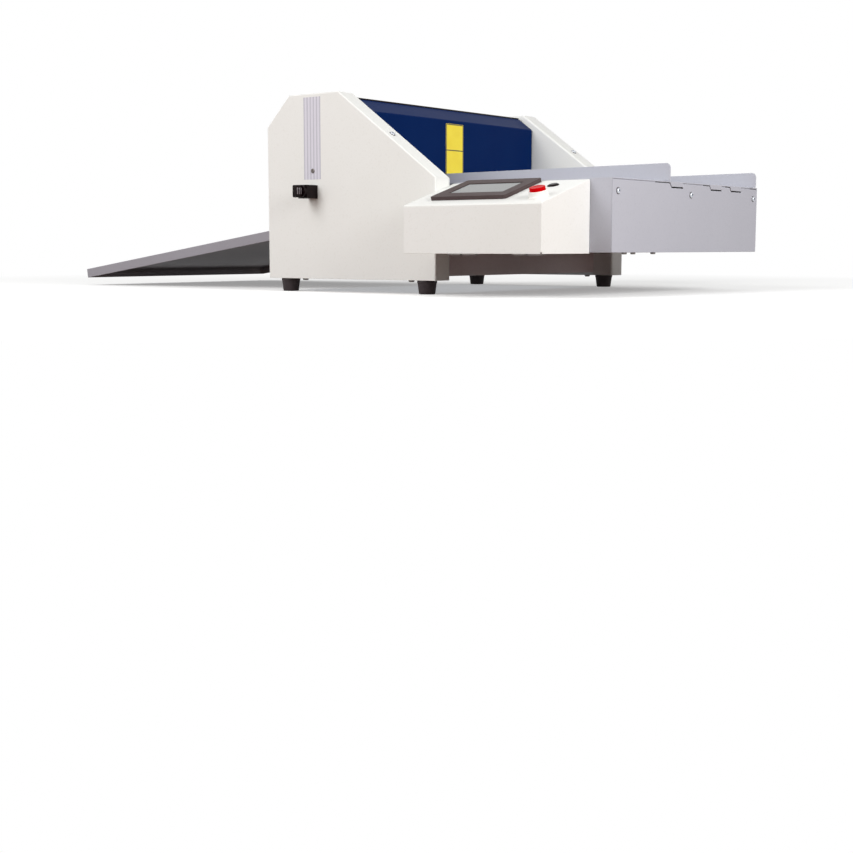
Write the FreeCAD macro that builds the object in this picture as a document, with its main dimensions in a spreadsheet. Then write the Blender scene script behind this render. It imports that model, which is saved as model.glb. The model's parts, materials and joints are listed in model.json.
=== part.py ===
import FreeCAD, Part

import os
import re

import Sketcher

# Desktop paper creasing machine. The origin is on the floor, under the middle of the whole machine.
# +Y runs the way the paper goes, from the infeed table to the delivery tray; +X is the operator's right.

DOC = FreeCAD.newDocument("PaperCreaser")
SHEET = DOC.addObject("Spreadsheet::Sheet", "Sizes")
TOUCH = 0.01
START_REACH = 100.0
START_ANGLE = 10.0

SIZES = {
    # whole machine
    "machine_width": 580.0,
    "sheet_thickness": 1.5,
    "joint_gap": 0.3,
    "running_gap": 0.05,
    "turning_gap": 2.0,
    "overcut": 1.0,
    # side housings
    "housing_thickness": 39.0,
    "housing_depth": 362.0,
    "housing_front_height": 161.0,
    "housing_rear_height": 254.5,
    "housing_height": 305.0,
    "slope_run": 201.0,
    "rear_bevel_run": 51.0,
    "bend_radius": 4.0,
    "rim_radius": 2.2,
    "plate_thickness": 5.0,
    "plate_recess": 0.5,
    "plate_edge_radius": 3.6,
    "plate_inset": 1.8,
    "pillar_radius": 6.0,
    "slope_pillar_inset": 8.0,
    "side_screw_height": 178.5,
    "slope_screw_run": 100.0,
    "cover_screw_radius": 1.8,
    "cover_screw_head": 3.8,
    "cover_screw_head_height": 1.8,
    "cover_screw_length": 9.0,
    "slope_screw_head": 5.4,
    "slope_screw_head_height": 2.4,
    "bottom_screw_front": 64.0,
    "bottom_screw_rear": 67.0,
    "bottom_screw_inset": 20.0,
    "bottom_screw_head": 5.0,
    "bottom_screw_head_height": 3.2,
    # feet
    "foot_height": 22.0,
    "foot_top_radius": 16.0,
    "foot_bottom_radius": 13.0,
    "foot_front_inset": 29.5,
    "foot_rear_inset": 35.5,
    "foot_recess_radius": 6.5,
    "foot_recess_depth": 8.0,
    "foot_screw_radius": 3.0,
    "foot_screw_head": 5.5,
    "foot_screw_head_height": 5.0,
    "foot_screw_end": 10.0,
    # panels between the housings
    "lower_panel_inset": 39.0,
    "underside_height": 5.5,
    "base_plate_thickness": 4.0,
    "rear_panel_inset": 3.0,
    "exit_slot_low": 10.0,
    "exit_slot_high": 12.0,
    "roof_drop": 7.0,
    # hinged safety cover
    "cover_inset": 180.0,
    "cover_lift": 14.0,
    "cover_face_height": 276.0,
    "cover_bevel_run": 30.0,
    "cover_rear_gap": 62.0,
    "hinge_pin_radius": 4.0,
    "hinge_pin_inset": 8.0,
    "hinge_pin_drop": 12.0,
    "hinge_ear_thickness": 3.0,
    "hinge_ear_reach": 8.0,
    "hinge_ear_inset": 5.0,
    "label_width": 51.5,
    "label_height": 94.0,
    "label_top": 270.5,
    "label_thickness": 0.6,
    # infeed table
    "table_reach": 288.0,
    "table_height": 154.0,
    "table_left": 50.0,
    "table_tail": 186.0,
    "table_skirt": 109.5,
    "front_flange": 30.0,
    "panel_return": 12.0,
    "tab_width": 39.0,
    "tab_depth": 9.8,
    "tab_gap": 2.0,
    "apron_seam": 1.3,
    "tab_slant": 8.0,
    "first_tab": 230.0,
    "second_tab": 365.5,
    "third_tab": 439.5,
    "table_screw_inset": 15.5,
    "table_screw_drop": 19.0,
    "table_screw_head": 5.3,
    "table_screw_head_height": 2.6,
    "table_screw_radius": 2.0,
    "table_screw_length": 8.0,
    "wall_flange": 28.0,
    # side guides of the table
    "left_guide_height": 28.7,
    "right_guide_height": 26.0,
    "guide_taper": 3.0,
    "guide_clearance": 0.8,
    "guide_thickness": 2.0,
    "guide_lip": 4.5,
    "guide_tail": 150.0,
    "guide_corner": 8.0,
    "left_guide_place": 226.5,
    "right_guide_inset": 5.0,
    "guide_foot_width": 30.0,
    "guide_foot_length": 40.0,
    "guide_slot_width": 9.0,
    "guide_slot_inset": 10.0,
    "guide_slot_end": 6.0,
    "rail_inset": 88.0,
    "rail_size": 12.0,
    "rail_drop": 18.0,
    "carriage_width": 26.0,
    "carriage_wall": 6.0,
    "carriage_neck": 20.0,
    "carriage_inset": 14.0,
    # console
    "console_overhang": 80.0,
    "console_length": 250.0,
    "console_floor": 43.0,
    "console_outer_height": 115.0,
    "console_inner_height": 153.0,
    "console_corner": 3.0,
    "fold_radius": 1.0,
    "corner_relief": 2.2,
    "bottom_tab_length": 22.0,
    "bottom_tab_step": 26.0,
    "front_tab_pair": 224.0,
    "rear_tab_pair": 108.0,
    "bottom_tab_drop": 2.0,
    "bottom_tab_width": 10.0,
    "bezel_offset": 25.0,
    "bezel_width": 102.0,
    "bezel_length": 138.0,
    "bezel_height": 6.0,
    "bezel_inset": 33.0,
    "bezel_corner": 4.0,
    "screen_width": 57.0,
    "screen_length": 100.0,
    "screen_recess": 1.0,
    "screen_thickness": 1.1,
    "display_body_inset": 5.0,
    "display_body_depth": 26.0,
    "stop_offset": 31.0,
    "stop_inset": 225.0,
    "stop_collar_radius": 15.0,
    "stop_collar_height": 10.0,
    "stop_cap_radius": 11.7,
    "stop_cap_start": 5.0,
    "stop_cap_height": 10.3,
    "stop_travel": 4.0,
    "stem_radius": 5.0,
    "barrel_radius": 11.0,
    "barrel_depth": 20.0,
    "start_offset": 99.0,
    "start_inset": 207.5,
    "start_ring_radius": 9.0,
    "start_ring_height": 1.6,
    "start_cap_radius": 6.6,
    "start_cap_height": 2.8,
    "start_travel": 1.5,
    "start_barrel_radius": 8.0,
    "board_length": 120.0,
    "board_width": 84.0,
    "board_thickness": 1.6,
    "board_standoff": 7.0,
    "board_standoff_radius": 3.0,
    "board_inset": 8.0,
    # delivery tray
    "tray_reach": 546.0,
    "tray_height": 87.0,
    "tray_slope": 8.1,
    "tray_side_gap": 4.0,
    "tray_flange": 17.0,
    "tray_gap": 0.8,
    "tray_bracket_inset": 40.0,
    "tray_bracket_width": 30.0,
    "tray_bracket_thickness": 3.0,
    "tray_arm_length": 60.0,
    "tray_bracket_drop": 30.0,
    # creasing tool
    "paper_margin": 26.0,
    "tool_line": 250.0,
    "tool_width": 44.0,
    "beam_end_gap": 11.0,
    "lower_beam_drop": 8.0,
    "lower_beam_height": 46.0,
    "beam_support_width": 24.0,
    "beam_support_inset": 20.0,
    "matrix_width": 12.0,
    "matrix_drop": 0.3,
    "groove_width": 2.0,
    "groove_depth": 1.2,
    "blade_gap": 6.0,
    "blade_width": 8.0,
    "rib_width": 1.0,
    "rib_height": 2.0,
    "blade_height": 14.0,
    "crease_depth": 0.5,
    "upper_beam_height": 38.0,
    "column_radius": 5.0,
    "column_inset": 19.0,
    "bush_radius": 7.0,
    "yoke_thickness": 8.0,
    "yoke_rail": 10.0,
    "yoke_clearance": 0.9,
    "guide_flange_inset": 1.5,
    # eccentric drive
    "eccentric_height": 52.0,
    "eccentric_radius": 18.0,
    "shaft_radius": 10.0,
    "shaft_tail": 12.0,
    "pulley_width": 16.0,
    "pulley_inset": 12.0,
    "eccentric_pulley_radius": 30.0,
    "motor_pulley_radius": 15.0,
    "motor_line": 120.0,
    "motor_radius": 35.0,
    "motor_length": 110.0,
    "motor_shaft_radius": 6.0,
    "motor_flange_radius": 40.0,
    "motor_flange": 6.0,
    "belt_thickness": 2.0,
    "belt_width": 12.0,
    "shaft_bearing_radius": 16.0,
    "bearing_width": 7.0,
    # feed rollers
    "roller_line": 203.0,
    "feed_radius": 14.0,
    "feed_proud": 0.3,
    "pressure_radius": 13.0,
    "nip_gap": 0.4,
    "journal_radius": 5.0,
    "roller_bearing_radius": 11.0,
    "feed_pulley_radius": 15.0,
    "stepper_pulley_radius": 10.0,
    "stepper_line": 110.0,
    "stepper_height": 80.0,
    "stepper_size": 57.0,
    "stepper_length": 60.0,
    "stepper_shaft_radius": 4.0,
    # crease depth knob
    "knob_line": 257.5,
    "knob_height": 144.4,
    "knob_radius": 10.0,
    "knob_length": 25.0,
    "knob_round": 1.5,
    "knob_collar_half": 10.6,
    "knob_collar_length": 16.0,
    "knob_shaft_radius": 4.0,
    "knob_shaft_depth": 14.0,
    "knob_bush_radius": 7.0,
    "depth_cam_radius": 10.0,
    "depth_cam_width": 7.0,
    "depth_cam_throw": 2.0,
    # mains inlet and power supply
    "inlet_side_inset": 60.0,
    "inlet_bottom": 16.0,
    "inlet_width": 48.0,
    "inlet_height": 56.0,
    "inlet_flange": 2.0,
    "inlet_rim": 2.5,
    "inlet_depth": 30.0,
    "socket_width": 26.0,
    "socket_height": 18.0,
    "socket_depth": 20.0,
    "socket_bottom": 7.0,
    "pin_thickness": 2.0,
    "pin_height": 4.0,
    "pin_length": 14.0,
    "pin_spacing": 7.0,
    "pin_rise": 4.0,
    "rocker_width": 20.0,
    "rocker_height": 13.0,
    "rocker_bottom": 35.0,
    "rocker_depth": 12.0,
    "rocker_proud": 1.5,
    "rocker_swell": 0.8,
    "rocker_tilt": 8.0,
    "rocker_pivot_depth": 4.0,
    "rocker_gap": 0.8,
    "rocker_pin_radius": 1.5,
    "rocker_pin_reach": 1.5,
    "supply_length": 160.0,
    "supply_depth": 60.0,
    "supply_height": 38.0,
    "supply_inset": 60.0,
    "supply_back": 10.0,
}

# Named places and derived sizes, each worked out from the sheet's cells. y and z of the housings
# are counted from the housings' front edge and from their underside.
PLACES = {
    "left_out": "(console_overhang - machine_width - cover_screw_head_height) / 2",
    "left_in": "left_out + housing_thickness",
    "right_out": "left_out + machine_width",
    "right_in": "right_out - housing_thickness",
    "middle": "(left_in + right_in) / 2",
    "infeed_end": "(table_screw_head_height - table_reach - housing_depth - tray_reach) / 2",
    "front": "infeed_end + table_reach",
    "back": "front + housing_depth",
    "tray_end": "back + tray_reach",
    "base": "foot_height",
    "deck": "base + table_height",
    "left_plate": "left_in - plate_recess",
    "right_plate": "right_in + plate_recess",
    "side_cover_width": "housing_thickness - plate_recess - plate_thickness - joint_gap",
    "slope_tangent": "(housing_height - housing_front_height) / slope_run",
    "slope_length": "sqrt(slope_tangent * slope_tangent + 1)",
    "slope_angle": "atan(slope_tangent)",
    "pillar_sink": "sheet_thickness + joint_gap + pillar_radius",
    "strip_middle": "(housing_thickness - plate_thickness - plate_recess) / 2",
    "lower_panel": "front + lower_panel_inset",
    "rear_panel_out": "back - rear_panel_inset",
    "rear_panel_in": "rear_panel_out - sheet_thickness",
    "floor_low": "base + underside_height",
    "floor_top": "floor_low + base_plate_thickness",
    "roof": "housing_height - roof_drop",
    "cover_low": "table_height + cover_lift",
    "cover_rear_run": "housing_depth - cover_rear_gap",
    "hinge_line": "front + cover_rear_run - hinge_pin_inset",
    "hinge_height": "base + roof - hinge_pin_drop",
    "table_side": "left_out + table_left",
    "table_far": "right_in - joint_gap",
    "table_low": "deck - table_skirt",
    "table_under": "deck - sheet_thickness",
    "guide_low": "deck + guide_clearance",
    "guide_end": "front + guide_tail",
    "rail_line": "infeed_end + rail_inset",
    "rail_middle": "deck - rail_drop",
    "left_guide_face": "left_out + left_guide_place",
    "right_guide_face": "right_in - right_guide_inset",
    "console_out": "left_out - console_overhang",
    "console_in": "table_side - joint_gap",
    "console_low": "base + console_floor",
    "console_front": "front - console_length",
    "console_back": "front - joint_gap",
    "console_width": "table_left + console_overhang - joint_gap",
    "tilt": "atan((console_inner_height - console_outer_height) / console_width)",
    "tray_width": "machine_width - 2 * housing_thickness - 2 * tray_side_gap",
    "tray_near": "rear_panel_out + tray_gap + tray_flange * sin(tray_slope * 1 deg)",
    "tray_top": "base + tray_height",
    "tray_length": "(tray_end - tray_near) / cos(tray_slope * 1 deg)",
    "tool": "front + tool_line",
    "tool_front": "tool - tool_width / 2",
    "tool_back": "tool + tool_width / 2",
    "beam_left": "left_plate + beam_end_gap",
    "beam_right": "right_plate - beam_end_gap",
    "paper_left": "left_in + paper_margin",
    "paper_right": "right_in - paper_margin",
    "lower_beam_top": "deck - lower_beam_drop",
    "lower_beam_low": "lower_beam_top - lower_beam_height",
    "matrix_top": "deck - matrix_drop",
    "rib_low": "deck + blade_gap",
    "blade_low": "rib_low + rib_height",
    "upper_beam_low": "blade_low + blade_height",
    "upper_beam_top": "upper_beam_low + upper_beam_height",
    "stroke": "blade_gap + matrix_drop + crease_depth",
    "throw": "stroke / 2",
    "shaft_height": "base + eccentric_height",
    "window_half": "eccentric_radius + throw + yoke_clearance",
    "window_low": "shaft_height + throw - eccentric_radius - yoke_clearance",
    "window_top": "shaft_height + throw + eccentric_radius + yoke_clearance",
    "left_column": "left_plate + column_inset",
    "right_column": "right_plate - column_inset",
    "yoke_left": "beam_left - joint_gap",
    "yoke_right": "beam_right + joint_gap",
    "right_pulley_out": "right_out - pulley_inset",
    "right_pulley_in": "right_pulley_out - pulley_width",
    "left_pulley_out": "left_out + pulley_inset",
    "left_pulley_in": "left_pulley_out + pulley_width",
    "motor_y": "front + motor_line",
    "roller_y": "front + roller_line",
    "feed_z": "deck + feed_proud - feed_radius",
    "pressure_z": "deck + feed_proud + nip_gap + pressure_radius",
    "stepper_y": "front + stepper_line",
    "stepper_z": "base + stepper_height",
    "knob_y": "front + knob_line",
    "knob_z": "base + knob_height",
    "knob_in": "left_out - knob_collar_length - joint_gap",
    "inlet_left": "right_in - inlet_side_inset - inlet_width",
    "inlet_middle": "inlet_left + inlet_width / 2",
    "inlet_low": "base + inlet_bottom",
    "inlet_face": "rear_panel_out + inlet_flange",
    "socket_low": "inlet_low + socket_bottom",
    "rocker_low": "inlet_low + rocker_bottom",
    "rocker_middle": "rocker_low + rocker_height / 2",
    "rocker_pivot": "inlet_face - rocker_pivot_depth",
}

WORD = re.compile(r"[a-z_]+")
TURNS = {
    "x": FreeCAD.Rotation(FreeCAD.Vector(0, 1, 0), 90),
    "y": FreeCAD.Rotation(FreeCAD.Vector(1, 0, 0), -90),
    "z": FreeCAD.Rotation(),
}
FINISHED = []


def fill_sheet():
    for row, (alias, value) in enumerate(SIZES.items(), 1):
        SHEET.set(f"A{row}", alias)
        SHEET.set(f"B{row}", str(value))
        SHEET.setAlias(f"B{row}", alias)
    DOC.recompute()


def formula(text):
    """An expression on the sheet's cells, with every named place in it written out."""
    opened = WORD.sub(lambda word: f"({PLACES[word[0]]})" if word[0] in PLACES else word[0], text)
    if opened != text:
        return formula(opened)
    return WORD.sub(lambda word: f"Sizes.{word[0]}" if word[0] in SIZES else word[0], text)


def bind(thing, **expressions):
    """Binds properties to expressions; base_x stands for Placement.Base.x."""
    for name, text in expressions.items():
        path = name.replace("base_", "Placement.Base.")
        thing.setExpression(path, formula(text))
    return thing


def block(name, x, y, z):
    """A box between a low and a high place along each axis."""
    piece = DOC.addObject("Part::Box", name)
    bind(piece, base_x=x[0], base_y=y[0], base_z=z[0])
    return bind(
        piece,
        Length=f"({x[1]}) - ({x[0]})",
        Width=f"({y[1]}) - ({y[0]})",
        Height=f"({z[1]}) - ({z[0]})",
    )


def rod(name, axis, centre, radius, span):
    """A cylinder along an axis; centre gives its place along the other two, in x, y, z order."""
    piece = DOC.addObject("Part::Cylinder", name)
    piece.Placement = FreeCAD.Placement(FreeCAD.Vector(), TURNS[axis])
    others = [other for other in "xyz" if other != axis]
    places = {f"base_{other}": place for other, place in zip(others, centre)}
    places[f"base_{axis}"] = span[0]
    return bind(piece, Radius=radius, Height=f"({span[1]}) - ({span[0]})", **places)


def fuse(name, *pieces):
    if len(pieces) == 1:
        return group(name, *pieces)
    joined = DOC.addObject("Part::MultiFuse", name)
    joined.Shapes = list(pieces)
    joined.Refine = True
    return joined


def cut(name, base, *tools):
    carved = DOC.addObject("Part::Cut", name)
    carved.Base = base
    carved.Tool = tools[0] if len(tools) == 1 else fuse(name + "_tools", *tools)
    carved.Refine = True
    return carved


def group(name, *pieces):
    """Several loose solids that share one sub-part."""
    kept = DOC.addObject("Part::Compound", name)
    kept.Links = list(pieces)
    return kept


def place(piece, x, y, z, axis=None, angle=None):
    if axis is not None:
        turn = FreeCAD.Rotation(FreeCAD.Vector(*axis), START_ANGLE)
        piece.Placement = FreeCAD.Placement(FreeCAD.Vector(), turn)
        piece.setExpression("Placement.Rotation.Angle", formula(angle))
    return bind(piece, base_x=x, base_y=y, base_z=z)


def finish(label, piece):
    piece.Label = label
    FINISHED.append(piece)
    return piece


def outline(name, plane, points, length, *, reverse=False):
    """A body padded from a closed outline of straight lines, given by its corners."""
    body = DOC.addObject("PartDesign::Body", name)
    sketch = body.newObject("Sketcher::SketchObject", name + "_outline")
    wanted = [feature for feature in body.Origin.OriginFeatures if feature.Role == plane + "_Plane"]
    sketch.AttachmentSupport = (wanted[0], [""])
    sketch.MapMode = "FlatFace"
    count = len(points)
    circle = [FreeCAD.Rotation(FreeCAD.Vector(0, 0, 1), 360.0 * turn / count) for turn in range(count)]
    corners = [turn.multVec(FreeCAD.Vector(START_REACH, 0, 0)) for turn in circle]
    for index in range(count):
        sketch.addGeometry(Part.LineSegment(corners[index], corners[(index + 1) % count]), False)
    for index in range(count):
        sketch.addConstraint(Sketcher.Constraint("Coincident", index, 2, (index + 1) % count, 1))
    for index, place_text in enumerate(points):
        for kind, text in zip(("DistanceX", "DistanceY"), place_text):
            number = sketch.addConstraint(Sketcher.Constraint(kind, index, 1, START_REACH + index))
            sketch.setExpression(f"Constraints[{number}]", formula(text))
    pad = body.newObject("PartDesign::Pad", name + "_pad")
    pad.Profile = sketch
    pad.Reversed = reverse
    bind(pad, Length=length)
    DOC.recompute()
    return body


def box_sides(shape):
    box = shape.BoundBox
    return {
        "-x": ("x", box.XMin),
        "+x": ("x", box.XMax),
        "-y": ("y", box.YMin),
        "+y": ("y", box.YMax),
        "-z": ("z", box.ZMin),
        "+z": ("z", box.ZMax),
    }


def lies_on(element, side):
    axis, limit = side
    return all(abs(getattr(corner.Point, axis) - limit) < TOUCH for corner in element.Vertexes)


def faces_on(feature, *sides):
    """The faces that lie on the named sides of a feature's own box, such as +x or -z."""
    known = box_sides(feature.Shape)
    return [
        f"Face{number}"
        for number, face in enumerate(feature.Shape.Faces, 1)
        if any(lies_on(face, known[side]) for side in sides)
    ]


def edges_along(feature, axis, *, off=()):
    """The straight edges along an axis that touch none of the sides named in off."""
    known = box_sides(feature.Shape)
    found = []
    for number, edge in enumerate(feature.Shape.Edges, 1):
        if len(edge.Vertexes) < 2 or any(lies_on(edge, known[side]) for side in off):
            continue
        run = edge.Vertexes[-1].Point - edge.Vertexes[0].Point
        others = [getattr(run, other) for other in "xyz" if other != axis]
        if max(abs(other) for other in others) < TOUCH:
            found.append(f"Edge{number}")
    return found


def edges_on(feature, side, *, off=()):
    """The edges on one side of a feature's box that lie on none of the sides named in off."""
    known = box_sides(feature.Shape)
    return [
        f"Edge{number}"
        for number, edge in enumerate(feature.Shape.Edges, 1)
        if lies_on(edge, known[side]) and not any(lies_on(edge, known[other]) for other in off)
    ]


def round_edges(body, name, edges, radius):
    fillet = body.newObject("PartDesign::Fillet", name)
    fillet.Base = (fillet.BaseFeature or body.Tip, edges)
    bind(fillet, Radius=radius)
    DOC.recompute()
    return body


def hollow(body, name, open_faces, wall):
    """Leaves a wall of sheet inside the body's own surface, open at the named faces."""
    shell = body.newObject("PartDesign::Thickness", name)
    shell.Base = (shell.BaseFeature or body.Tip, open_faces)
    shell.Reversed = True
    shell.Join = 1
    bind(shell, Value=wall)
    DOC.recompute()
    return body


def screw(name, head, head_height, radius, length):
    """A screw at the origin: its head stands on z = 0 and its shank goes down."""
    cap = rod(name + "_head", "z", ("0", "0"), head, ("0", head_height))
    shank = rod(name + "_shank", "z", ("0", "0"), radius, (f"-({length})", "0"))
    return fuse(name, cap, shank)


def cover_screw(name):
    head = ("cover_screw_head", "cover_screw_head_height")
    return screw(name, *head, "cover_screw_radius", "cover_screw_length")


# ---------------------------------------------------------------- side housings

HOUSING_OUTLINE = (
    ("0", "0"),
    ("housing_depth", "0"),
    ("housing_depth", "housing_rear_height"),
    ("housing_depth - rear_bevel_run", "housing_height"),
    ("slope_run", "housing_height"),
    ("0", "housing_front_height"),
)


def slope_screw_place(side):
    x = "left_out + strip_middle" if side == "left" else "right_out - strip_middle"
    return x, "front + slope_screw_run", "base + housing_front_height + slope_screw_run * slope_tangent"


def side_cover(side):
    """The bent outer shell: one face and a rim up to the frame plate, open there and underneath."""
    left = side == "left"
    body = outline(side + "_shell", "YZ", HOUSING_OUTLINE, "side_cover_width", reverse=not left)
    place(body, "left_out" if left else "right_out", "front", "base")
    outside, inside = ("-x", "+x") if left else ("+x", "-x")
    bends = edges_along(body.Tip, "x", off=("-z",))
    round_edges(body, side + "_bends", bends, "bend_radius")
    round_edges(body, side + "_rim", edges_on(body.Tip, outside, off=("-z",)), "rim_radius")
    hollow(body, side + "_sheet", faces_on(body.Tip, inside, "-z"), "sheet_thickness")
    if left:
        face_x = ("left_out - overcut", "left_out + cover_screw_length")
    else:
        face_x = ("right_out - cover_screw_length", "right_out + overcut")
    hole = "cover_screw_radius + running_gap"
    holes = [rod(side + "_face_hole", "x", ("knob_y", "base + side_screw_height"), hole, face_x)]
    depth = ("-cover_screw_length", "cover_screw_length")
    slope_hole = fuse(side + "_slope_bore", rod(side + "_slope_hole", "z", ("0", "0"), hole, depth))
    holes.append(place(slope_hole, *slope_screw_place(side), (1, 0, 0), "slope_angle"))
    if left:
        holes.append(rod("knob_hole", "x", ("knob_y", "knob_z"), "knob_shaft_radius + joint_gap", face_x))
    return finish(side + "_side_cover", cut(side + "_side_cover_cut", body, *holes))


def bottom_screw_places(side):
    x = "left_out + bottom_screw_inset" if side == "left" else "right_out - bottom_screw_inset"
    return [(x, "front + bottom_screw_front"), (x, "back - bottom_screw_rear")]


def foot_places():
    xs = ("left_out + strip_middle", "right_out - strip_middle")
    ys = ("front + foot_front_inset", "back - foot_rear_inset")
    return [(x, y) for x in xs for y in ys]


def frame_plate(side):
    """The steel side plate, rounded along its inner edge and flush with the cover's rim, with its
    foot flange, the pillars for the cover's screws and its bores."""
    left = side == "left"
    body = outline(side + "_plate_body", "YZ", HOUSING_OUTLINE, "plate_thickness", reverse=left)
    place(body, "left_plate" if left else "right_plate", "front", "base")
    round_edges(body, side + "_plate_bends", edges_along(body.Tip, "x", off=("-z",)), "bend_radius")
    inner = edges_on(body.Tip, "+x" if left else "-x", off=("-z",))
    round_edges(body, side + "_plate_edge", inner, "plate_edge_radius")
    if left:
        flange_x = ("left_out + plate_inset", "left_plate")
        pillar_x = ("left_out + plate_inset", "left_plate - plate_thickness")
        through = ("left_plate - plate_thickness - overcut", "left_plate + overcut")
        slope_pillar_x = ("left_out + slope_pillar_inset", "left_plate - plate_thickness")
    else:
        flange_x = ("right_plate", "right_out - plate_inset")
        pillar_x = ("right_plate + plate_thickness", "right_out - plate_inset")
        through = ("right_plate - overcut", "right_plate + plate_thickness + overcut")
        slope_pillar_x = ("right_plate + plate_thickness", "right_out - slope_pillar_inset")
    ends = ("front + plate_inset", "back - plate_inset")
    flange = block(side + "_foot_flange", flange_x, ends, ("base", "base + plate_thickness"))
    face_place = ("knob_y", "base + side_screw_height")
    face_pillar = rod(side + "_face_pillar", "x", face_place, "pillar_radius", pillar_x)
    x, y, z = slope_screw_place(side)
    slope_place = (
        f"{y} + pillar_sink * slope_tangent / slope_length",
        f"{z} - pillar_sink / slope_length",
    )
    slope_pillar = rod(side + "_slope_pillar", "x", slope_place, "pillar_radius", slope_pillar_x)
    solid = fuse(side + "_plate_solid", body, flange, face_pillar, slope_pillar)
    screw_bore = "cover_screw_radius"
    tools = [
        rod(side + "_face_thread", "x", face_place, screw_bore, pillar_x),
        rod(side + "_shaft_bore", "x", ("tool", "shaft_height"), "shaft_bearing_radius", through),
        rod(side + "_feed_bore", "x", ("roller_y", "feed_z"), "roller_bearing_radius", through),
        rod(side + "_pressure_bore", "x", ("roller_y", "pressure_z"), "roller_bearing_radius", through),
        rod(side + "_hinge_bore", "x", ("hinge_line", "hinge_height"), "hinge_pin_radius", through),
    ]
    thread = rod(side + "_slope_thread", "z", ("0", "0"), screw_bore, ("-cover_screw_length", "overcut"))
    tools.append(place(fuse(side + "_slope_tap", thread), x, y, z, (1, 0, 0), "slope_angle"))
    for index, spot in enumerate(bottom_screw_places(side)):
        span = ("base - overcut", "base + plate_thickness + overcut")
        tools.append(rod(f"{side}_bottom_thread_{index}", "z", spot, screw_bore, span))
    for index, spot in enumerate(foot_places()):
        if (index < 2) == left:
            span = ("base - overcut", "base + plate_thickness + overcut")
            tools.append(rod(f"{side}_foot_thread_{index}", "z", spot, "foot_screw_radius", span))
    if left:
        tools.append(rod("knob_bush_bore", "x", ("knob_y", "knob_z"), "knob_bush_radius", through))
        stepper_bore = "stepper_shaft_radius + turning_gap"
        tools.append(rod("stepper_bore", "x", ("stepper_y", "stepper_z"), stepper_bore, through))
    else:
        motor_bore = "motor_shaft_radius + turning_gap"
        tools.append(rod("motor_bore", "x", ("motor_y", "shaft_height"), motor_bore, through))
    return finish(side + "_frame_plate", cut(side + "_frame_plate_cut", solid, *tools))


def side_cover_screws():
    screws = []
    for side in ("left", "right"):
        left = side == "left"
        slope = screw(side + "_slope_screw", "slope_screw_head", "slope_screw_head_height",
                      "cover_screw_radius", "cover_screw_length")
        screws.append(place(slope, *slope_screw_place(side), (1, 0, 0), "slope_angle"))
        face = cover_screw(side + "_face_screw")
        axis = (0, -1, 0) if left else (0, 1, 0)
        x = "left_out" if left else "right_out"
        screws.append(place(face, x, "knob_y", "base + side_screw_height", axis, "90"))
        for index, (x, y) in enumerate(bottom_screw_places(side)):
            low = screw(f"{side}_bottom_screw_{index}", "bottom_screw_head", "bottom_screw_head_height",
                        "cover_screw_radius", "cover_screw_length")
            screws.append(place(low, x, y, "base", (1, 0, 0), "180"))
    return finish("side_cover_screws", group("side_cover_screw_group", *screws))


# ---------------------------------------------------------------- feet

def rubber_feet():
    feet = []
    for index, (x, y) in enumerate(foot_places()):
        cone = DOC.addObject("Part::Cone", f"foot_cone_{index}")
        bind(cone, Radius1="foot_bottom_radius", Radius2="foot_top_radius", Height="foot_height")
        place(cone, x, y, "0")
        low = ("-overcut", "foot_recess_depth")
        recess = rod(f"foot_recess_{index}", "z", (x, y), "foot_recess_radius", low)
        hole = "foot_screw_radius + running_gap"
        bore = rod(f"foot_bore_{index}", "z", (x, y), hole, ("0", "base + overcut"))
        feet.append(cut(f"foot_{index}", cone, recess, bore))
    return finish("rubber_feet", group("foot_group", *feet))


def foot_screws():
    screws = []
    for index, (x, y) in enumerate(foot_places()):
        head_z = ("foot_recess_depth - foot_screw_head_height", "foot_recess_depth")
        head = rod(f"foot_screw_head_{index}", "z", (x, y), "foot_screw_head", head_z)
        span = ("foot_recess_depth", "base + foot_screw_end")
        shank = rod(f"foot_screw_shank_{index}", "z", (x, y), "foot_screw_radius", span)
        screws.append(fuse(f"foot_screw_{index}", head, shank))
    return finish("foot_screws", group("foot_screw_group", *screws))


# ---------------------------------------------------------------- panels between the housings

BETWEEN_PLATES = ("left_plate", "right_plate")
INSIDE_PLATES = ("left_plate + joint_gap", "right_plate - joint_gap")


def base_plate():
    y = ("lower_panel + sheet_thickness", "rear_panel_in")
    return finish("base_plate", block("base_plate_box", BETWEEN_PLATES, y, ("floor_low", "floor_top")))


def front_lower_panel():
    y = ("lower_panel", "lower_panel + sheet_thickness")
    z = ("floor_low", "table_under - joint_gap")
    return finish("front_lower_panel", block("front_lower_panel_box", INSIDE_PLATES, y, z))


def rear_panel():
    z = ("floor_low", "deck - exit_slot_low")
    panel = block("rear_panel_box", INSIDE_PLATES, ("rear_panel_in", "rear_panel_out"), z)
    hole = block(
        "inlet_cutout",
        ("inlet_left + inlet_rim - joint_gap", "inlet_left + inlet_width - inlet_rim + joint_gap"),
        ("rear_panel_in - overcut", "rear_panel_out + overcut"),
        ("inlet_low + inlet_rim - joint_gap", "inlet_low + inlet_height - inlet_rim + joint_gap"),
    )
    return finish("rear_panel", cut("rear_panel_cut", panel, hole))


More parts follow.
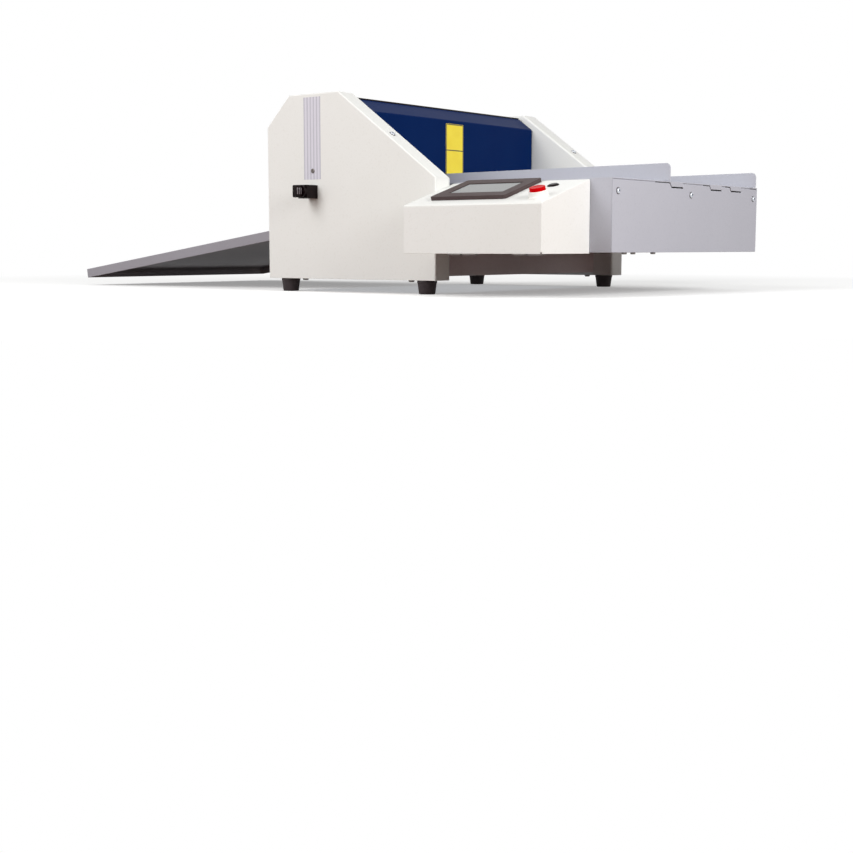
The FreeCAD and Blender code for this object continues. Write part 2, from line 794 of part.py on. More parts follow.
def upper_rear_panel():
    """The bent sheet above the paper exit, up to the hinged cover's rear edge."""
    low = "table_height + exit_slot_high"
    rear = "housing_depth - rear_panel_inset"
    fore = "cover_rear_run + hinge_pin_inset"
    corner = "housing_rear_height - rear_panel_inset"
    points = ((fore, low), (rear, low), (rear, corner), (fore, "roof"))
    width = "machine_width - 2 * housing_thickness - 2 * joint_gap"
    body = outline("upper_rear_body", "YZ", points, width)
    place(body, "left_in + joint_gap", "front", "base")
    round_edges(body, "upper_rear_bend", edges_along(body.Tip, "x", off=("-y", "-z", "+z")), "bend_radius")
    hollow(body, "upper_rear_sheet", faces_on(body.Tip, "-x", "+x", "-y", "-z"), "sheet_thickness")
    return finish("upper_rear_panel", body)


# ---------------------------------------------------------------- hinged safety cover

def hinged_cover():
    """A bent sheet: upright face, bevel and roof, with two ears that hang on the hinge pins."""
    points = (
        ("cover_inset", "cover_low"),
        ("cover_rear_run", "cover_low"),
        ("cover_rear_run", "roof"),
        ("cover_inset + cover_bevel_run", "roof"),
        ("cover_inset", "cover_face_height"),
    )
    width = "machine_width - 2 * housing_thickness - 2 * turning_gap"
    body = outline("cover_body", "YZ", points, width)
    place(body, "left_in + turning_gap", "front", "base")
    bends = edges_along(body.Tip, "x", off=("+y", "-z"))
    round_edges(body, "cover_bends", bends, "bend_radius")
    hollow(body, "cover_sheet", faces_on(body.Tip, "-x", "+x", "+y", "-z"), "sheet_thickness")
    ears = []
    for side in ("left", "right"):
        if side == "left":
            x = ("left_in + hinge_ear_inset", "left_in + hinge_ear_inset + hinge_ear_thickness")
        else:
            x = ("right_in - hinge_ear_inset - hinge_ear_thickness", "right_in - hinge_ear_inset")
        y = ("hinge_line - hinge_ear_reach", "hinge_line + hinge_pin_inset")
        z = ("hinge_height - hinge_ear_reach", "base + roof - sheet_thickness / 2")
        ears.append(block(side + "_ear", x, y, z))
    whole = fuse("cover_with_ears", body, *ears)
    bore = rod(
        "hinge_bore",
        "x",
        ("hinge_line", "hinge_height"),
        "hinge_pin_radius + running_gap",
        ("left_in", "right_in"),
    )
    return finish("hinged_cover", cut("hinged_cover_cut", whole, bore))


def cover_hinge_pins():
    reach = "hinge_ear_inset + hinge_ear_thickness + turning_gap"
    spans = {
        "left": ("left_plate - plate_thickness", f"left_in + {reach}"),
        "right": (f"right_in - ({reach})", "right_plate + plate_thickness"),
    }
    pins = [
        rod(side + "_hinge_pin", "x", ("hinge_line", "hinge_height"), "hinge_pin_radius", span)
        for side, span in spans.items()
    ]
    return finish("cover_hinge_pins", group("hinge_pin_group", *pins))


def cover_label_plate():
    x = ("middle - label_width / 2", "middle + label_width / 2")
    y = ("front + cover_inset - label_thickness", "front + cover_inset")
    z = ("base + label_top - label_height", "base + label_top")
    return finish("cover_label_plate", block("label_box", x, y, z))


# ---------------------------------------------------------------- infeed table

TAB_PLACES = ("first_tab", "second_tab", "third_tab")
TABLE_SCREWS = (
    "table_side + table_screw_inset",
    "(table_side + table_far) / 2",
    "table_far - table_screw_inset",
)


def infeed_table():
    """One bent sheet: deck, side walls that turn in to bolt on the lower panel, front flange and tabs."""
    wall_y = ("infeed_end + sheet_thickness", "lower_panel")
    wall_z = ("table_low", "table_under")
    left_wall = block("table_left_wall", ("table_side", "table_side + sheet_thickness"), wall_y, wall_z)
    right_wall = block("table_right_wall", ("table_far - sheet_thickness", "table_far"), wall_y, wall_z)
    top_y = ("infeed_end", "front + table_tail")
    top = block("table_top", ("table_side", "table_far"), top_y, ("table_under", "deck"))
    flange_y = ("infeed_end + sheet_thickness", "infeed_end + 2 * sheet_thickness")
    flange_x = ("table_side + sheet_thickness", "table_far - sheet_thickness")
    flange = block("table_front_flange", flange_x, flange_y, ("table_under - front_flange", "table_under"))
    end_y = ("lower_panel - sheet_thickness", "lower_panel")
    turned_in = [
        block("table_left_end", ("table_side", "table_side + wall_flange"), end_y, wall_z),
        block("table_right_end", ("table_far - wall_flange", "table_far"), end_y, wall_z),
    ]
    tabs = []
    windows = []
    window_y = ("infeed_end + sheet_thickness", "infeed_end + 3 * sheet_thickness")
    for name in TAB_PLACES:
        points = (
            ("tab_gap + tab_slant - tab_slant * tab_gap / tab_depth", "tab_gap"),
            ("tab_slant + tab_width - joint_gap", "tab_gap"),
            ("tab_slant + tab_width - joint_gap", "tab_depth - sheet_thickness"),
            ("tab_gap + tab_slant * sheet_thickness / tab_depth", "tab_depth - sheet_thickness"),
        )
        hook = outline(name + "_hook", "XZ", points, "sheet_thickness")
        hook_x = f"left_out + {name} - tab_slant"
        tabs.append(place(hook, hook_x, "infeed_end + sheet_thickness", "deck - tab_depth"))
        window_x = (f"{hook_x} - tab_gap", f"left_out + {name} + tab_width + tab_gap")
        window_z = ("deck - tab_depth - tab_gap", "table_under")
        windows.append(block(name + "_window", window_x, window_y, window_z))
    solid = fuse("table_solid", top, left_wall, right_wall, flange, *turned_in, *tabs)
    slot_x = ("table_side + guide_slot_inset", "table_far - guide_slot_end")
    slot_y = ("rail_line - guide_slot_width / 2", "rail_line + guide_slot_width / 2")
    slot = block("guide_slot", slot_x, slot_y, ("table_under - overcut", "deck + overcut"))
    holes = [
        rod(f"table_thread_{index}", "y", (x, "deck - table_screw_drop"), "table_screw_radius",
            ("infeed_end", "infeed_end + 3 * sheet_thickness"))
        for index, x in enumerate(TABLE_SCREWS)
    ]
    return finish("infeed_table", cut("infeed_table_cut", solid, slot, *windows, *holes))


def table_front_panel():
    """The apron in front, notched for the deck's tabs, with returns behind its lower and side edges."""
    face_y = ("infeed_end", "infeed_end + sheet_thickness")
    face_z = ("table_low", "table_under - apron_seam")
    face = block("apron_face", ("table_side", "table_far"), face_y, face_z)
    inner_left = "table_side + sheet_thickness + joint_gap"
    inner_right = "table_far - sheet_thickness - joint_gap"
    return_y = ("infeed_end + sheet_thickness", "infeed_end + panel_return")
    lower_z = ("table_low", "table_low + sheet_thickness")
    lower = block("apron_lower_return", (inner_left, inner_right), return_y, lower_z)
    side_z = ("table_low", "table_under - front_flange - joint_gap")
    left = block("apron_left_return", (inner_left, f"{inner_left} + sheet_thickness"), return_y, side_z)
    right = block("apron_right_return", (f"{inner_right} - sheet_thickness", inner_right), return_y, side_z)
    solid = fuse("apron_solid", face, lower, left, right)
    tools = []
    for name in TAB_PLACES:
        points = (
            ("tab_slant", "0"),
            ("tab_slant + tab_width", "0"),
            ("tab_slant + tab_width", "tab_depth"),
            ("0", "tab_depth"),
        )
        notch = outline(name + "_notch", "XZ", points, "3 * sheet_thickness")
        notch_x = f"left_out + {name} - tab_slant"
        tools.append(place(notch, notch_x, "infeed_end + 2 * sheet_thickness", "deck - tab_depth"))
    for index, x in enumerate(TABLE_SCREWS):
        span = ("infeed_end - overcut", "infeed_end + 2 * sheet_thickness")
        hole = rod(f"apron_hole_{index}", "y", (x, "deck - table_screw_drop"), "table_screw_radius", span)
        tools.append(hole)
    return finish("table_front_panel", cut("apron_cut", solid, *tools))


def table_screws():
    screws = []
    for index, x in enumerate(TABLE_SCREWS):
        one = screw(f"table_screw_{index}", "table_screw_head", "table_screw_head_height",
                    "table_screw_radius", "table_screw_length")
        screws.append(place(one, x, "infeed_end", "deck - table_screw_drop", (1, 0, 0), "90"))
    return finish("table_screws", group("table_screw_group", *screws))


# ---------------------------------------------------------------- side guides

def guide_neck(side):
    """Low and high x of a carriage's neck, outside the left guide and inside the right one."""
    if side == "left":
        centre = "left_guide_face - carriage_inset - guide_thickness"
    else:
        centre = "right_guide_face - carriage_inset - guide_thickness"
    return centre, (f"{centre} - carriage_neck / 2", f"{centre} + carriage_neck / 2")


def side_guide(side):
    """An upright strip, a little higher in front, with a narrow lip on the deck and a foot tab
    over its carriage."""
    left = side == "left"
    face = side + "_guide_face"
    upright = outline(
        side + "_guide_upright",
        "YZ",
        (
            ("0", "0"),
            ("guide_tail + table_reach", "0"),
            ("guide_tail + table_reach", f"{side}_guide_height - guide_clearance - guide_taper"),
            ("0", f"{side}_guide_height - guide_clearance"),
        ),
        "guide_thickness",
        reverse=True,
    )
    place(upright, face, "infeed_end", "guide_low")
    round_edges(upright, side + "_corner", edges_along(upright.Tip, "x", off=("+y", "-z")), "guide_corner")
    if left:
        lip_x = (f"{face} - guide_lip - guide_thickness", face)
    else:
        lip_x = (f"{face} - guide_thickness", f"{face} + guide_lip - joint_gap")
    z = ("guide_low", "guide_low + guide_thickness")
    lip = block(side + "_guide_lip", lip_x, ("infeed_end + guide_corner", "guide_end"), z)
    foot_y = ("rail_line - guide_foot_length / 2", "rail_line + guide_foot_length / 2")
    foot = block(side + "_guide_foot", (f"{face} - guide_foot_width", face), foot_y, z)
    return finish(side + "_guide", fuse(side + "_guide_solid", upright, lip, foot))


def guide_carriage(side):
    """A block that runs on the rail under the deck; its neck comes up through the deck's slot."""
    centre, neck_x = guide_neck(side)
    half = "(rail_size / 2 + carriage_wall)"
    body_x = (f"{centre} - carriage_width / 2", f"{centre} + carriage_width / 2")
    body_y = (f"rail_line - {half}", f"rail_line + {half}")
    body_z = (f"rail_middle - {half}", f"rail_middle + {half}")
    solid = block(side + "_carriage_body", body_x, body_y, body_z)
    neck_y = ("rail_line - guide_slot_width / 2 + joint_gap", "rail_line + guide_slot_width / 2 - joint_gap")
    neck = block(side + "_carriage_neck", neck_x, neck_y, (f"rail_middle + {half}", "guide_low"))
    whole = fuse(side + "_carriage_solid", solid, neck)
    gap = "(rail_size / 2 + running_gap)"
    bore = block(
        side + "_carriage_bore",
        (f"{centre} - carriage_width", f"{centre} + carriage_width"),
        (f"rail_line - {gap}", f"rail_line + {gap}"),
        (f"rail_middle - {gap}", f"rail_middle + {gap}"),
    )
    return finish(side + "_guide_carriage", cut(side + "_carriage_cut", whole, bore))


def guide_rail():
    x = ("table_side + sheet_thickness", "table_far - sheet_thickness")
    y = ("rail_line - rail_size / 2", "rail_line + rail_size / 2")
    z = ("rail_middle - rail_size / 2", "rail_middle + rail_size / 2")
    return finish("guide_rail", block("guide_rail_bar", x, y, z))


# ---------------------------------------------------------------- console

STOP_CENTRE = ("stop_offset", "-stop_inset")
START_CENTRE = ("start_offset", "-start_inset")
CONSOLE_EDGE = ("console_out", "front", "base + console_outer_height", (0, -1, 0), "tilt")


def on_console(piece):
    """Puts a piece on the tilted top: its x runs up the slope and its z stands on the top."""
    return place(piece, *CONSOLE_EDGE)


def console_housing():
    """The wedge-shaped sheet box beside the table, with the cut-outs for what is set in its top."""
    inner = "console_inner_height - console_floor"
    outer = "console_outer_height - console_floor"
    points = (("0", "0"), ("console_width", "0"), ("console_width", inner), ("0", outer))
    body = outline("console_body", "XZ", points, "console_length - joint_gap")
    place(body, "console_out", "console_back", "console_low")
    round_edges(body, "console_bend", edges_along(body.Tip, "y", off=("-z",)), "console_corner")
    hollow(body, "console_sheet", faces_on(body.Tip, "-z"), "sheet_thickness")
    round_edges(body, "console_end", edges_on(body.Tip, "-y", off=("-z",)), "fold_radius")
    through = ("-3 * sheet_thickness", "3 * sheet_thickness")
    inset = "display_body_inset - joint_gap"
    window = block(
        "display_cutout",
        (f"bezel_offset + {inset}", f"bezel_offset + bezel_width - ({inset})"),
        (f"-bezel_inset - bezel_length + {inset}", f"-bezel_inset - ({inset})"),
        through,
    )
    stop = rod("stop_cutout", "z", STOP_CENTRE, "barrel_radius + joint_gap", through)
    start = rod("start_cutout", "z", START_CENTRE, "start_barrel_radius + joint_gap", through)
    tools = on_console(fuse("console_cutouts", window, stop, start))
    relief = block(
        "console_corner_relief",
        ("console_out - overcut", "console_out + corner_relief"),
        ("console_front - overcut", "console_front + corner_relief"),
        ("console_low - overcut", "console_low + corner_relief"),
    )
    return finish("console_housing", cut("console_housing_cut", body, tools, relief))


def console_bottom_plate():
    low = "sheet_thickness + joint_gap"
    x = (f"console_out + {low}", f"console_in - ({low})")
    y = (f"console_front + {low}", f"console_back - ({low})")
    plate = block("console_floor_plate", x, y, ("console_low", "console_low + sheet_thickness"))
    tabs = []
    tab_x = ("console_out + sheet_thickness", "console_out + bottom_tab_width")
    tab_z = ("console_low - bottom_tab_drop", "console_low")
    for pair in ("front_tab_pair", "rear_tab_pair"):
        for end, sign in (("near", "-"), ("far", "+")):
            middle = f"front - {pair} {sign} bottom_tab_step / 2"
            tab_y = (f"{middle} - bottom_tab_length / 2", f"{middle} + bottom_tab_length / 2")
            tabs.append(block(f"{pair}_{end}", tab_x, tab_y, tab_z))
    return finish("console_bottom_plate", fuse("console_bottom_solid", plate, *tabs))


BEZEL_Y = ("-bezel_inset - bezel_length", "-bezel_inset")


def screen_window():
    """Low and high places of the screen in the bezel, along the slope and along the console."""
    across = "bezel_offset + bezel_width / 2"
    x = (f"{across} - screen_width / 2", f"{across} + screen_width / 2")
    middle = "-bezel_inset - bezel_length / 2"
    return x, (f"{middle} - screen_length / 2", f"{middle} + screen_length / 2")


def screen_bezel():
    bezel_x = ("bezel_offset", "bezel_offset + bezel_width")
    frame = block("bezel_frame", bezel_x, BEZEL_Y, ("0", "bezel_height"))
    DOC.recompute()
    rounded = DOC.addObject("Part::Fillet", "bezel_rounded")
    rounded.Base = frame
    radius = float(SHEET.get("bezel_corner"))
    corners = [
        number
        for number, edge in enumerate(frame.Shape.Edges, 1)
        if abs(edge.Vertexes[0].Point.z - edge.Vertexes[-1].Point.z) > TOUCH
    ]
    rounded.Edges = [(number, radius, radius) for number in corners]
    body_x = ("bezel_offset + display_body_inset", "bezel_offset + bezel_width - display_body_inset")
    body_y = ("-bezel_inset - bezel_length + display_body_inset", "-bezel_inset - display_body_inset")
    back = block("display_body", body_x, body_y, ("-display_body_depth", "0"))
    solid = fuse("bezel_solid", rounded, back)
    x, y = screen_window()
    recess_z = ("bezel_height - screen_recess - screen_thickness", "bezel_height + overcut")
    recess = block("screen_recess_box", x, y, recess_z)
    return finish("screen_bezel", on_console(cut("screen_bezel_cut", solid, recess)))


def touch_screen():
    x, y = screen_window()
    z = ("bezel_height - screen_recess - screen_thickness", "bezel_height - screen_recess")
    glass = block("screen_glass", x, y, z)
    return finish("touch_screen", on_console(fuse("touch_screen_solid", glass)))


def stop_button_collar():
    """The pale collar on the top with its barrel through the sheet."""
    collar = rod("stop_collar", "z", STOP_CENTRE, "stop_collar_radius", ("0", "stop_collar_height"))
    barrel = rod("stop_barrel", "z", STOP_CENTRE, "barrel_radius", ("-barrel_depth", "0"))
    solid = fuse("stop_collar_solid", collar, barrel)
    low = "stop_cap_start - stop_travel - joint_gap"
    well_z = (low, "stop_collar_height + overcut")
    well = rod("stop_well", "z", STOP_CENTRE, "stop_cap_radius + joint_gap", well_z)
    span = ("-barrel_depth - overcut", "stop_collar_height")
    bore = rod("stop_bore", "z", STOP_CENTRE, "stem_radius + running_gap", span)
    return finish("stop_button_collar", on_console(cut("stop_collar_cut", solid, well, bore)))


def stop_button():
    top = "stop_cap_start + stop_cap_height"
    cap = rod("stop_cap", "z", STOP_CENTRE, "stop_cap_radius", ("stop_cap_start", top))
    stem = rod("stop_stem", "z", STOP_CENTRE, "stem_radius", ("-barrel_depth / 2", "stop_cap_start"))
    return finish("stop_button", on_console(fuse("stop_button_solid", cap, stem)))


def start_button_collar():
    ring = rod("start_ring", "z", START_CENTRE, "start_ring_radius", ("0", "start_ring_height"))
    barrel = rod("start_barrel", "z", START_CENTRE, "start_barrel_radius", ("-barrel_depth", "0"))
    solid = fuse("start_ring_solid", ring, barrel)
    well_z = ("-start_travel", "start_ring_height + overcut")
    well = rod("start_well", "z", START_CENTRE, "start_cap_radius + joint_gap", well_z)
    span = ("-barrel_depth - overcut", "start_ring_height")
    bore = rod("start_bore", "z", START_CENTRE, "stem_radius + running_gap", span)
    return finish("start_button_collar", on_console(cut("start_ring_cut", solid, well, bore)))


def start_button():
    cap = rod("start_cap", "z", START_CENTRE, "start_cap_radius", ("joint_gap", "start_cap_height"))
    stem = rod("start_stem", "z", START_CENTRE, "stem_radius", ("-barrel_depth / 2", "joint_gap"))
    return finish("start_button", on_console(fuse("start_button_solid", cap, stem)))


def control_board():
    """The circuit board on four standoffs on the console's bottom plate."""
    middle_x = "(console_out + console_in) / 2"
    middle_y = "(console_front + console_back) / 2"
    low = "console_low + sheet_thickness"
    x = (f"{middle_x} - board_width / 2", f"{middle_x} + board_width / 2")
    y = (f"{middle_y} - board_length / 2", f"{middle_y} + board_length / 2")
    z = (f"{low} + board_standoff", f"{low} + board_standoff + board_thickness")
    pieces = [block("board", x, y, z)]
    for index, (x_sign, y_sign) in enumerate((("-", "-"), ("-", "+"), ("+", "-"), ("+", "+"))):
        spot = (
            f"{middle_x} {x_sign} (board_width / 2 - board_inset)",
            f"{middle_y} {y_sign} (board_length / 2 - board_inset)",
        )
        span = (low, f"{low} + board_standoff")
        pieces.append(rod(f"board_standoff_{index}", "z", spot, "board_standoff_radius", span))
    return finish("control_board", fuse("control_board_solid", *pieces))


# ---------------------------------------------------------------- delivery tray

TRAY_EDGE = ("middle", "tray_near", "tray_top", (-1, 0, 0), "tray_slope")


def delivery_tray():
    """A sloping sheet with its side and rear edges turned down."""
    half = "tray_width / 2"
    points = (
        ("0", "0"),
        ("tray_width", "0"),
        ("tray_width", "tray_length"),
        ("0", "tray_length"),
    )
    body = outline("tray_body", "XY", points, "tray_flange")
    hollow(body, "tray_sheet", faces_on(body.Tip, "-y", "-z"), "sheet_thickness")
    round_edges(body, "tray_folds", edges_on(body.Tip, "+z", off=("-y",)), "fold_radius")
    place(body, f"-({half})", "0", "-tray_flange")
    return finish("delivery_tray", place(fuse("tray_solid", body), *TRAY_EDGE))


def tray_brackets():
    """Two brackets on the rear panel; each has an arm that lies under the tray."""
    brackets = []
    offset = "(tray_width / 2 - tray_bracket_inset)"
    for side, sign in (("left", "-"), ("right", "+")):
        middle = f"0 {sign} {offset}"
        arm_x = (f"{middle} - tray_bracket_width / 2", f"{middle} + tray_bracket_width / 2")
        arm_z = ("-sheet_thickness - tray_bracket_thickness", "-sheet_thickness")
        arm = block(side + "_arm_box", arm_x, ("-tray_bracket_thickness / 2", "tray_arm_length"), arm_z)
        arm = place(fuse(side + "_tray_arm", arm), *TRAY_EDGE)
        plate_x = (f"middle + {arm_x[0]}", f"middle + {arm_x[1]}")
        plate_y = ("rear_panel_out", "rear_panel_out + tray_bracket_thickness")
        plate_z = ("tray_top - tray_bracket_drop", "tray_top - sheet_thickness - tray_gap")
        plate = block(side + "_bracket_plate", plate_x, plate_y, plate_z)
        brackets.append(fuse(side + "_tray_bracket", arm, plate))
    return finish("tray_brackets", group("tray_bracket_group", *brackets))


# ---------------------------------------------------------------- creasing tool

BEAM_X = ("beam_left", "beam_right")
TOOL_Y = ("tool_front", "tool_back")
COLUMNS = {"left": "left_column", "right": "right_column"}


def lower_tool_beam():
    beam = block("lower_beam_bar", BEAM_X, TOOL_Y, ("lower_beam_low", "lower_beam_top"))
    span = ("lower_beam_low - overcut", "lower_beam_top + overcut")
    bores = [
        rod(side + "_column_seat", "z", (x, "tool"), "column_radius", span)
        for side, x in COLUMNS.items()
    ]
    return finish("lower_tool_beam", cut("lower_beam_cut", beam, *bores))


def beam_supports():
    """Two posts on the base plate; the eccentric shaft goes through them with room to turn."""
    supports = []
    spans = {
        "left": ("beam_left + beam_support_inset", "beam_left + beam_support_inset + beam_support_width"),
        "right": ("beam_right - beam_support_inset - beam_support_width", "beam_right - beam_support_inset"),
    }
    for side, x in spans.items():
        post = block(side + "_post", x, TOOL_Y, ("floor_top", "lower_beam_low"))
        bore = rod(side + "_post_bore", "x", ("tool", "shaft_height"), "shaft_radius + turning_gap", BEAM_X)
        supports.append(cut(side + "_beam_support", post, bore))
    return finish("beam_supports", group("beam_support_group", *supports))


def crease_matrix():
    x = ("paper_left", "paper_right")
    y = ("tool - matrix_width / 2", "tool + matrix_width / 2")
    bar = block("matrix_bar", x, y, ("lower_beam_top", "matrix_top"))
    groove_y = ("tool - groove_width / 2", "tool + groove_width / 2")
    groove = block("matrix_groove", ("left_in", "right_in"), groove_y, ("matrix_top - groove_depth", "deck"))
    return finish("crease_matrix", cut("crease_matrix_cut", bar, groove))


def upper_tool_beam():
    beam = block("upper_beam_bar", BEAM_X, TOOL_Y, ("upper_beam_low", "upper_beam_top"))
    span = ("upper_beam_low - overcut", "upper_beam_top + overcut")
    bores = [rod(side + "_bush_seat", "z", (x, "tool"), "bush_radius", span) for side, x in COLUMNS.items()]
    return finish("upper_tool_beam", cut("upper_beam_cut", beam, *bores))


def crease_blade():
    x = ("paper_left", "paper_right")
    y = ("tool - blade_width / 2", "tool + blade_width / 2")
    holder = block("blade_holder", x, y, ("blade_low", "upper_beam_low"))
    rib_y = ("tool - rib_width / 2", "tool + rib_width / 2")
    rib = block("blade_rib", x, rib_y, ("rib_low", "blade_low"))
    return finish("crease_blade", fuse("crease_blade_solid", holder, rib))


def guide_columns():
    span = ("lower_beam_low", "upper_beam_top")
    columns = [
        rod(side + "_guide_column", "z", (x, "tool"), "column_radius", span)
        for side, x in COLUMNS.items()
    ]
    return finish("guide_columns", group("column_group", *columns))


def column_bushes():
    bushes = []
    span = ("upper_beam_low", "upper_beam_top")
    for side, x in COLUMNS.items():
        sleeve = rod(side + "_bush_sleeve", "z", (x, "tool"), "bush_radius", span)
        bore_span = ("upper_beam_low - overcut", "upper_beam_top + overcut")
        bore = rod(side + "_bush_bore", "z", (x, "tool"), "column_radius + running_gap", bore_span)
        bushes.append(cut(side + "_column_bush", sleeve, bore))
    return finish("column_bushes", group("bush_group", *bushes))


def cam_yokes():
    """Upright plates on the ends of the upper beam; each has a window in which an eccentric turns."""
    plates = {
        "left": (("yoke_left - yoke_thickness", "yoke_left"), ("yoke_left", "beam_left")),
        "right": (("yoke_right", "yoke_right + yoke_thickness"), ("beam_right", "yoke_right")),
    }
    plate_y = ("tool - window_half - yoke_rail", "tool + window_half + yoke_rail")
    window_y = ("tool - window_half", "tool + window_half")
    yokes = []
    for side, (plate_x, pad_x) in plates.items():
        plate = block(side + "_yoke_plate", plate_x, plate_y, ("window_low - yoke_rail", "upper_beam_top"))
        pad = block(side + "_yoke_pad", pad_x, TOOL_Y, ("upper_beam_low", "upper_beam_top"))
        through = (f"{plate_x[0]} - overcut", f"{plate_x[1]} + overcut")
        window = block(side + "_yoke_window", through, window_y, ("window_low", "window_top"))
        yokes.append(cut(side + "_cam_yoke", fuse(side + "_yoke_solid", plate, pad), window))
    return finish("cam_yokes", group("yoke_group", *yokes))


def paper_guide_plates():
    """Two sheets that carry the paper to the matrix and on to the exit, each on a flange."""
    x = ("paper_left", "paper_right")
    z = ("matrix_top - sheet_thickness", "matrix_top")
    flange_z = ("lower_beam_top", "matrix_top - sheet_thickness")
    fore_y = ("roller_y + feed_radius + turning_gap", "tool - matrix_width / 2 - joint_gap")
    rear_y = ("tool + matrix_width / 2 + joint_gap", "rear_panel_in - joint_gap")
    fore_face = "tool_front + guide_flange_inset"
    rear_face = "tool_back - guide_flange_inset"
    plates = []
    for name, sheet_y, flange_y in (
        ("fore", fore_y, (fore_face, f"{fore_face} + sheet_thickness")),
        ("rear", rear_y, (f"{rear_face} - sheet_thickness", rear_face)),
    ):
        sheet = block(name + "_sheet", x, sheet_y, z)
        flange = block(name + "_flange", x, flange_y, flange_z)
        plates.append(fuse(name + "_guide_plate", sheet, flange))
    return finish("paper_guide_plates", group("guide_plate_group", *plates))


# ---------------------------------------------------------------- drives

def eccentric_shaft():
    """The shaft with its two eccentric discs, which stand at their highest point."""
    span = ("left_plate - plate_thickness - shaft_tail", "right_pulley_out")
    shaft = rod("eccentric_core", "x", ("tool", "shaft_height"), "shaft_radius", span)
    centre = ("tool", "shaft_height + throw")
    left = ("yoke_left - yoke_thickness", "yoke_left")
    right = ("yoke_right", "yoke_right + yoke_thickness")
    discs = [
        rod(side + "_eccentric", "x", centre, "eccentric_radius", disc)
        for side, disc in (("left", left), ("right", right))
    ]
    return finish("eccentric_shaft", fuse("eccentric_shaft_solid", shaft, *discs))


def pulley(name, x, centre, radius, bore_radius):
    wheel = rod(name + "_wheel", "x", centre, radius, x)
    bore = rod(name + "_bore", "x", centre, bore_radius, (f"{x[0]} - overcut", f"{x[1]} + overcut"))
    return finish(name, cut(name + "_cut", wheel, bore))


RIGHT_PULLEY_X = ("right_pulley_in", "right_pulley_out")
LEFT_PULLEY_X = ("left_pulley_out", "left_pulley_in")


def belt_loop(name, distance, first, second, grow, width):
    """A solid race-track round two circles on the local Y axis, grown by a distance."""
    half = f"(({width}) / 2)"
    sine = f"((({first}) - ({second})) / ({distance}))"
    cosine = f"sqrt(1 - {sine} * {sine})"
    radii = (f"(({first}) + {grow})", f"(({second}) + {grow})")
    near, far = radii
    points = (
        (f"{near} * {sine}", f"-{near} * {cosine}"),
        (f"{distance} + {far} * {sine}", f"-{far} * {cosine}"),
        (f"{distance} + {far} * {sine}", f"{far} * {cosine}"),
        (f"{near} * {sine}", f"{near} * {cosine}"),
    )
    web = outline(name + "_web", "YZ", points, width)
    place(web, f"-{half}", "0", "0")
    start = rod(name + "_start", "x", ("0", "0"), near, (f"-{half}", half))
    end = rod(name + "_end", "x", (distance, "0"), far, (f"-{half}", half))
    return fuse(name, web, start, end)


def belt(name, middle_x, start, end, first, second, angle):
    run_y, run_z = (f"(({high}) - ({low}))" for low, high in zip(start, end))
    distance = f"sqrt({run_y} * {run_y} + {run_z} * {run_z})"
    outer = belt_loop(name + "_outer", distance, first, second, "joint_gap + belt_thickness", "belt_width")
    inner = belt_loop(name + "_inner", distance, first, second, "joint_gap", "belt_width + 2 * overcut")
    ring = cut(name + "_ring", outer, inner)
    return finish(name, place(ring, middle_x, *start, (1, 0, 0), angle))


def drives():
    right_middle = "(right_pulley_in + right_pulley_out) / 2"
    left_middle = "(left_pulley_in + left_pulley_out) / 2"
    shaft, motor = ("tool", "shaft_height"), ("motor_y", "shaft_height")
    pulley("eccentric_pulley", RIGHT_PULLEY_X, shaft, "eccentric_pulley_radius", "shaft_radius")
    pulley("motor_pulley", RIGHT_PULLEY_X, motor, "motor_pulley_radius", "motor_shaft_radius + running_gap")
    belt("crease_belt", right_middle, motor, shaft, "motor_pulley_radius", "eccentric_pulley_radius", "0")
    feed, stepper = ("roller_y", "feed_z"), ("stepper_y", "stepper_z")
    pulley("feed_pulley", LEFT_PULLEY_X, feed, "feed_pulley_radius", "journal_radius")
    stepper_bore = "stepper_shaft_radius + running_gap"
    pulley("stepper_pulley", LEFT_PULLEY_X, stepper, "stepper_pulley_radius", stepper_bore)
    angle = "atan((feed_z - stepper_z) / (roller_y - stepper_y))"
    belt("feed_belt", left_middle, stepper, feed, "stepper_pulley_radius", "feed_pulley_radius", angle)


def crease_motor():
    """A gear motor on the inside of the right frame plate; its shaft goes out to the motor pulley."""
    centre = ("motor_y", "shaft_height")
    can = rod("motor_can", "x", centre, "motor_radius", ("right_plate - motor_length", "right_plate"))
    flange_x = ("right_plate - motor_flange", "right_plate")
    flange = rod("motor_flange", "x", centre, "motor_flange_radius", flange_x)
    shaft = rod("motor_shaft", "x", centre, "motor_shaft_radius", ("right_plate", "right_pulley_out"))
    return finish("crease_motor", fuse("crease_motor_solid", can, flange, shaft))


def stepper_motor():
    half = "stepper_size / 2"
    body = block(
        "stepper_body",
        ("left_plate", "left_plate + stepper_length"),
        (f"stepper_y - {half}", f"stepper_y + {half}"),
        (f"stepper_z - {half}", f"stepper_z + {half}"),
    )
    span = ("left_pulley_out", "left_plate")
    shaft = rod("stepper_shaft", "x", ("stepper_y", "stepper_z"), "stepper_shaft_radius", span)
    return finish("stepper_motor", fuse("stepper_motor_solid", body, shaft))


def bearing(name, x, centre, outer, inner):
    ring = rod(name + "_ring", "x", centre, outer, x)
    through = (f"{x[0]} - overcut", f"{x[1]} + overcut")
    bore = rod(name + "_bore", "x", centre, f"{inner} + running_gap", through)
    return cut(name, ring, bore)


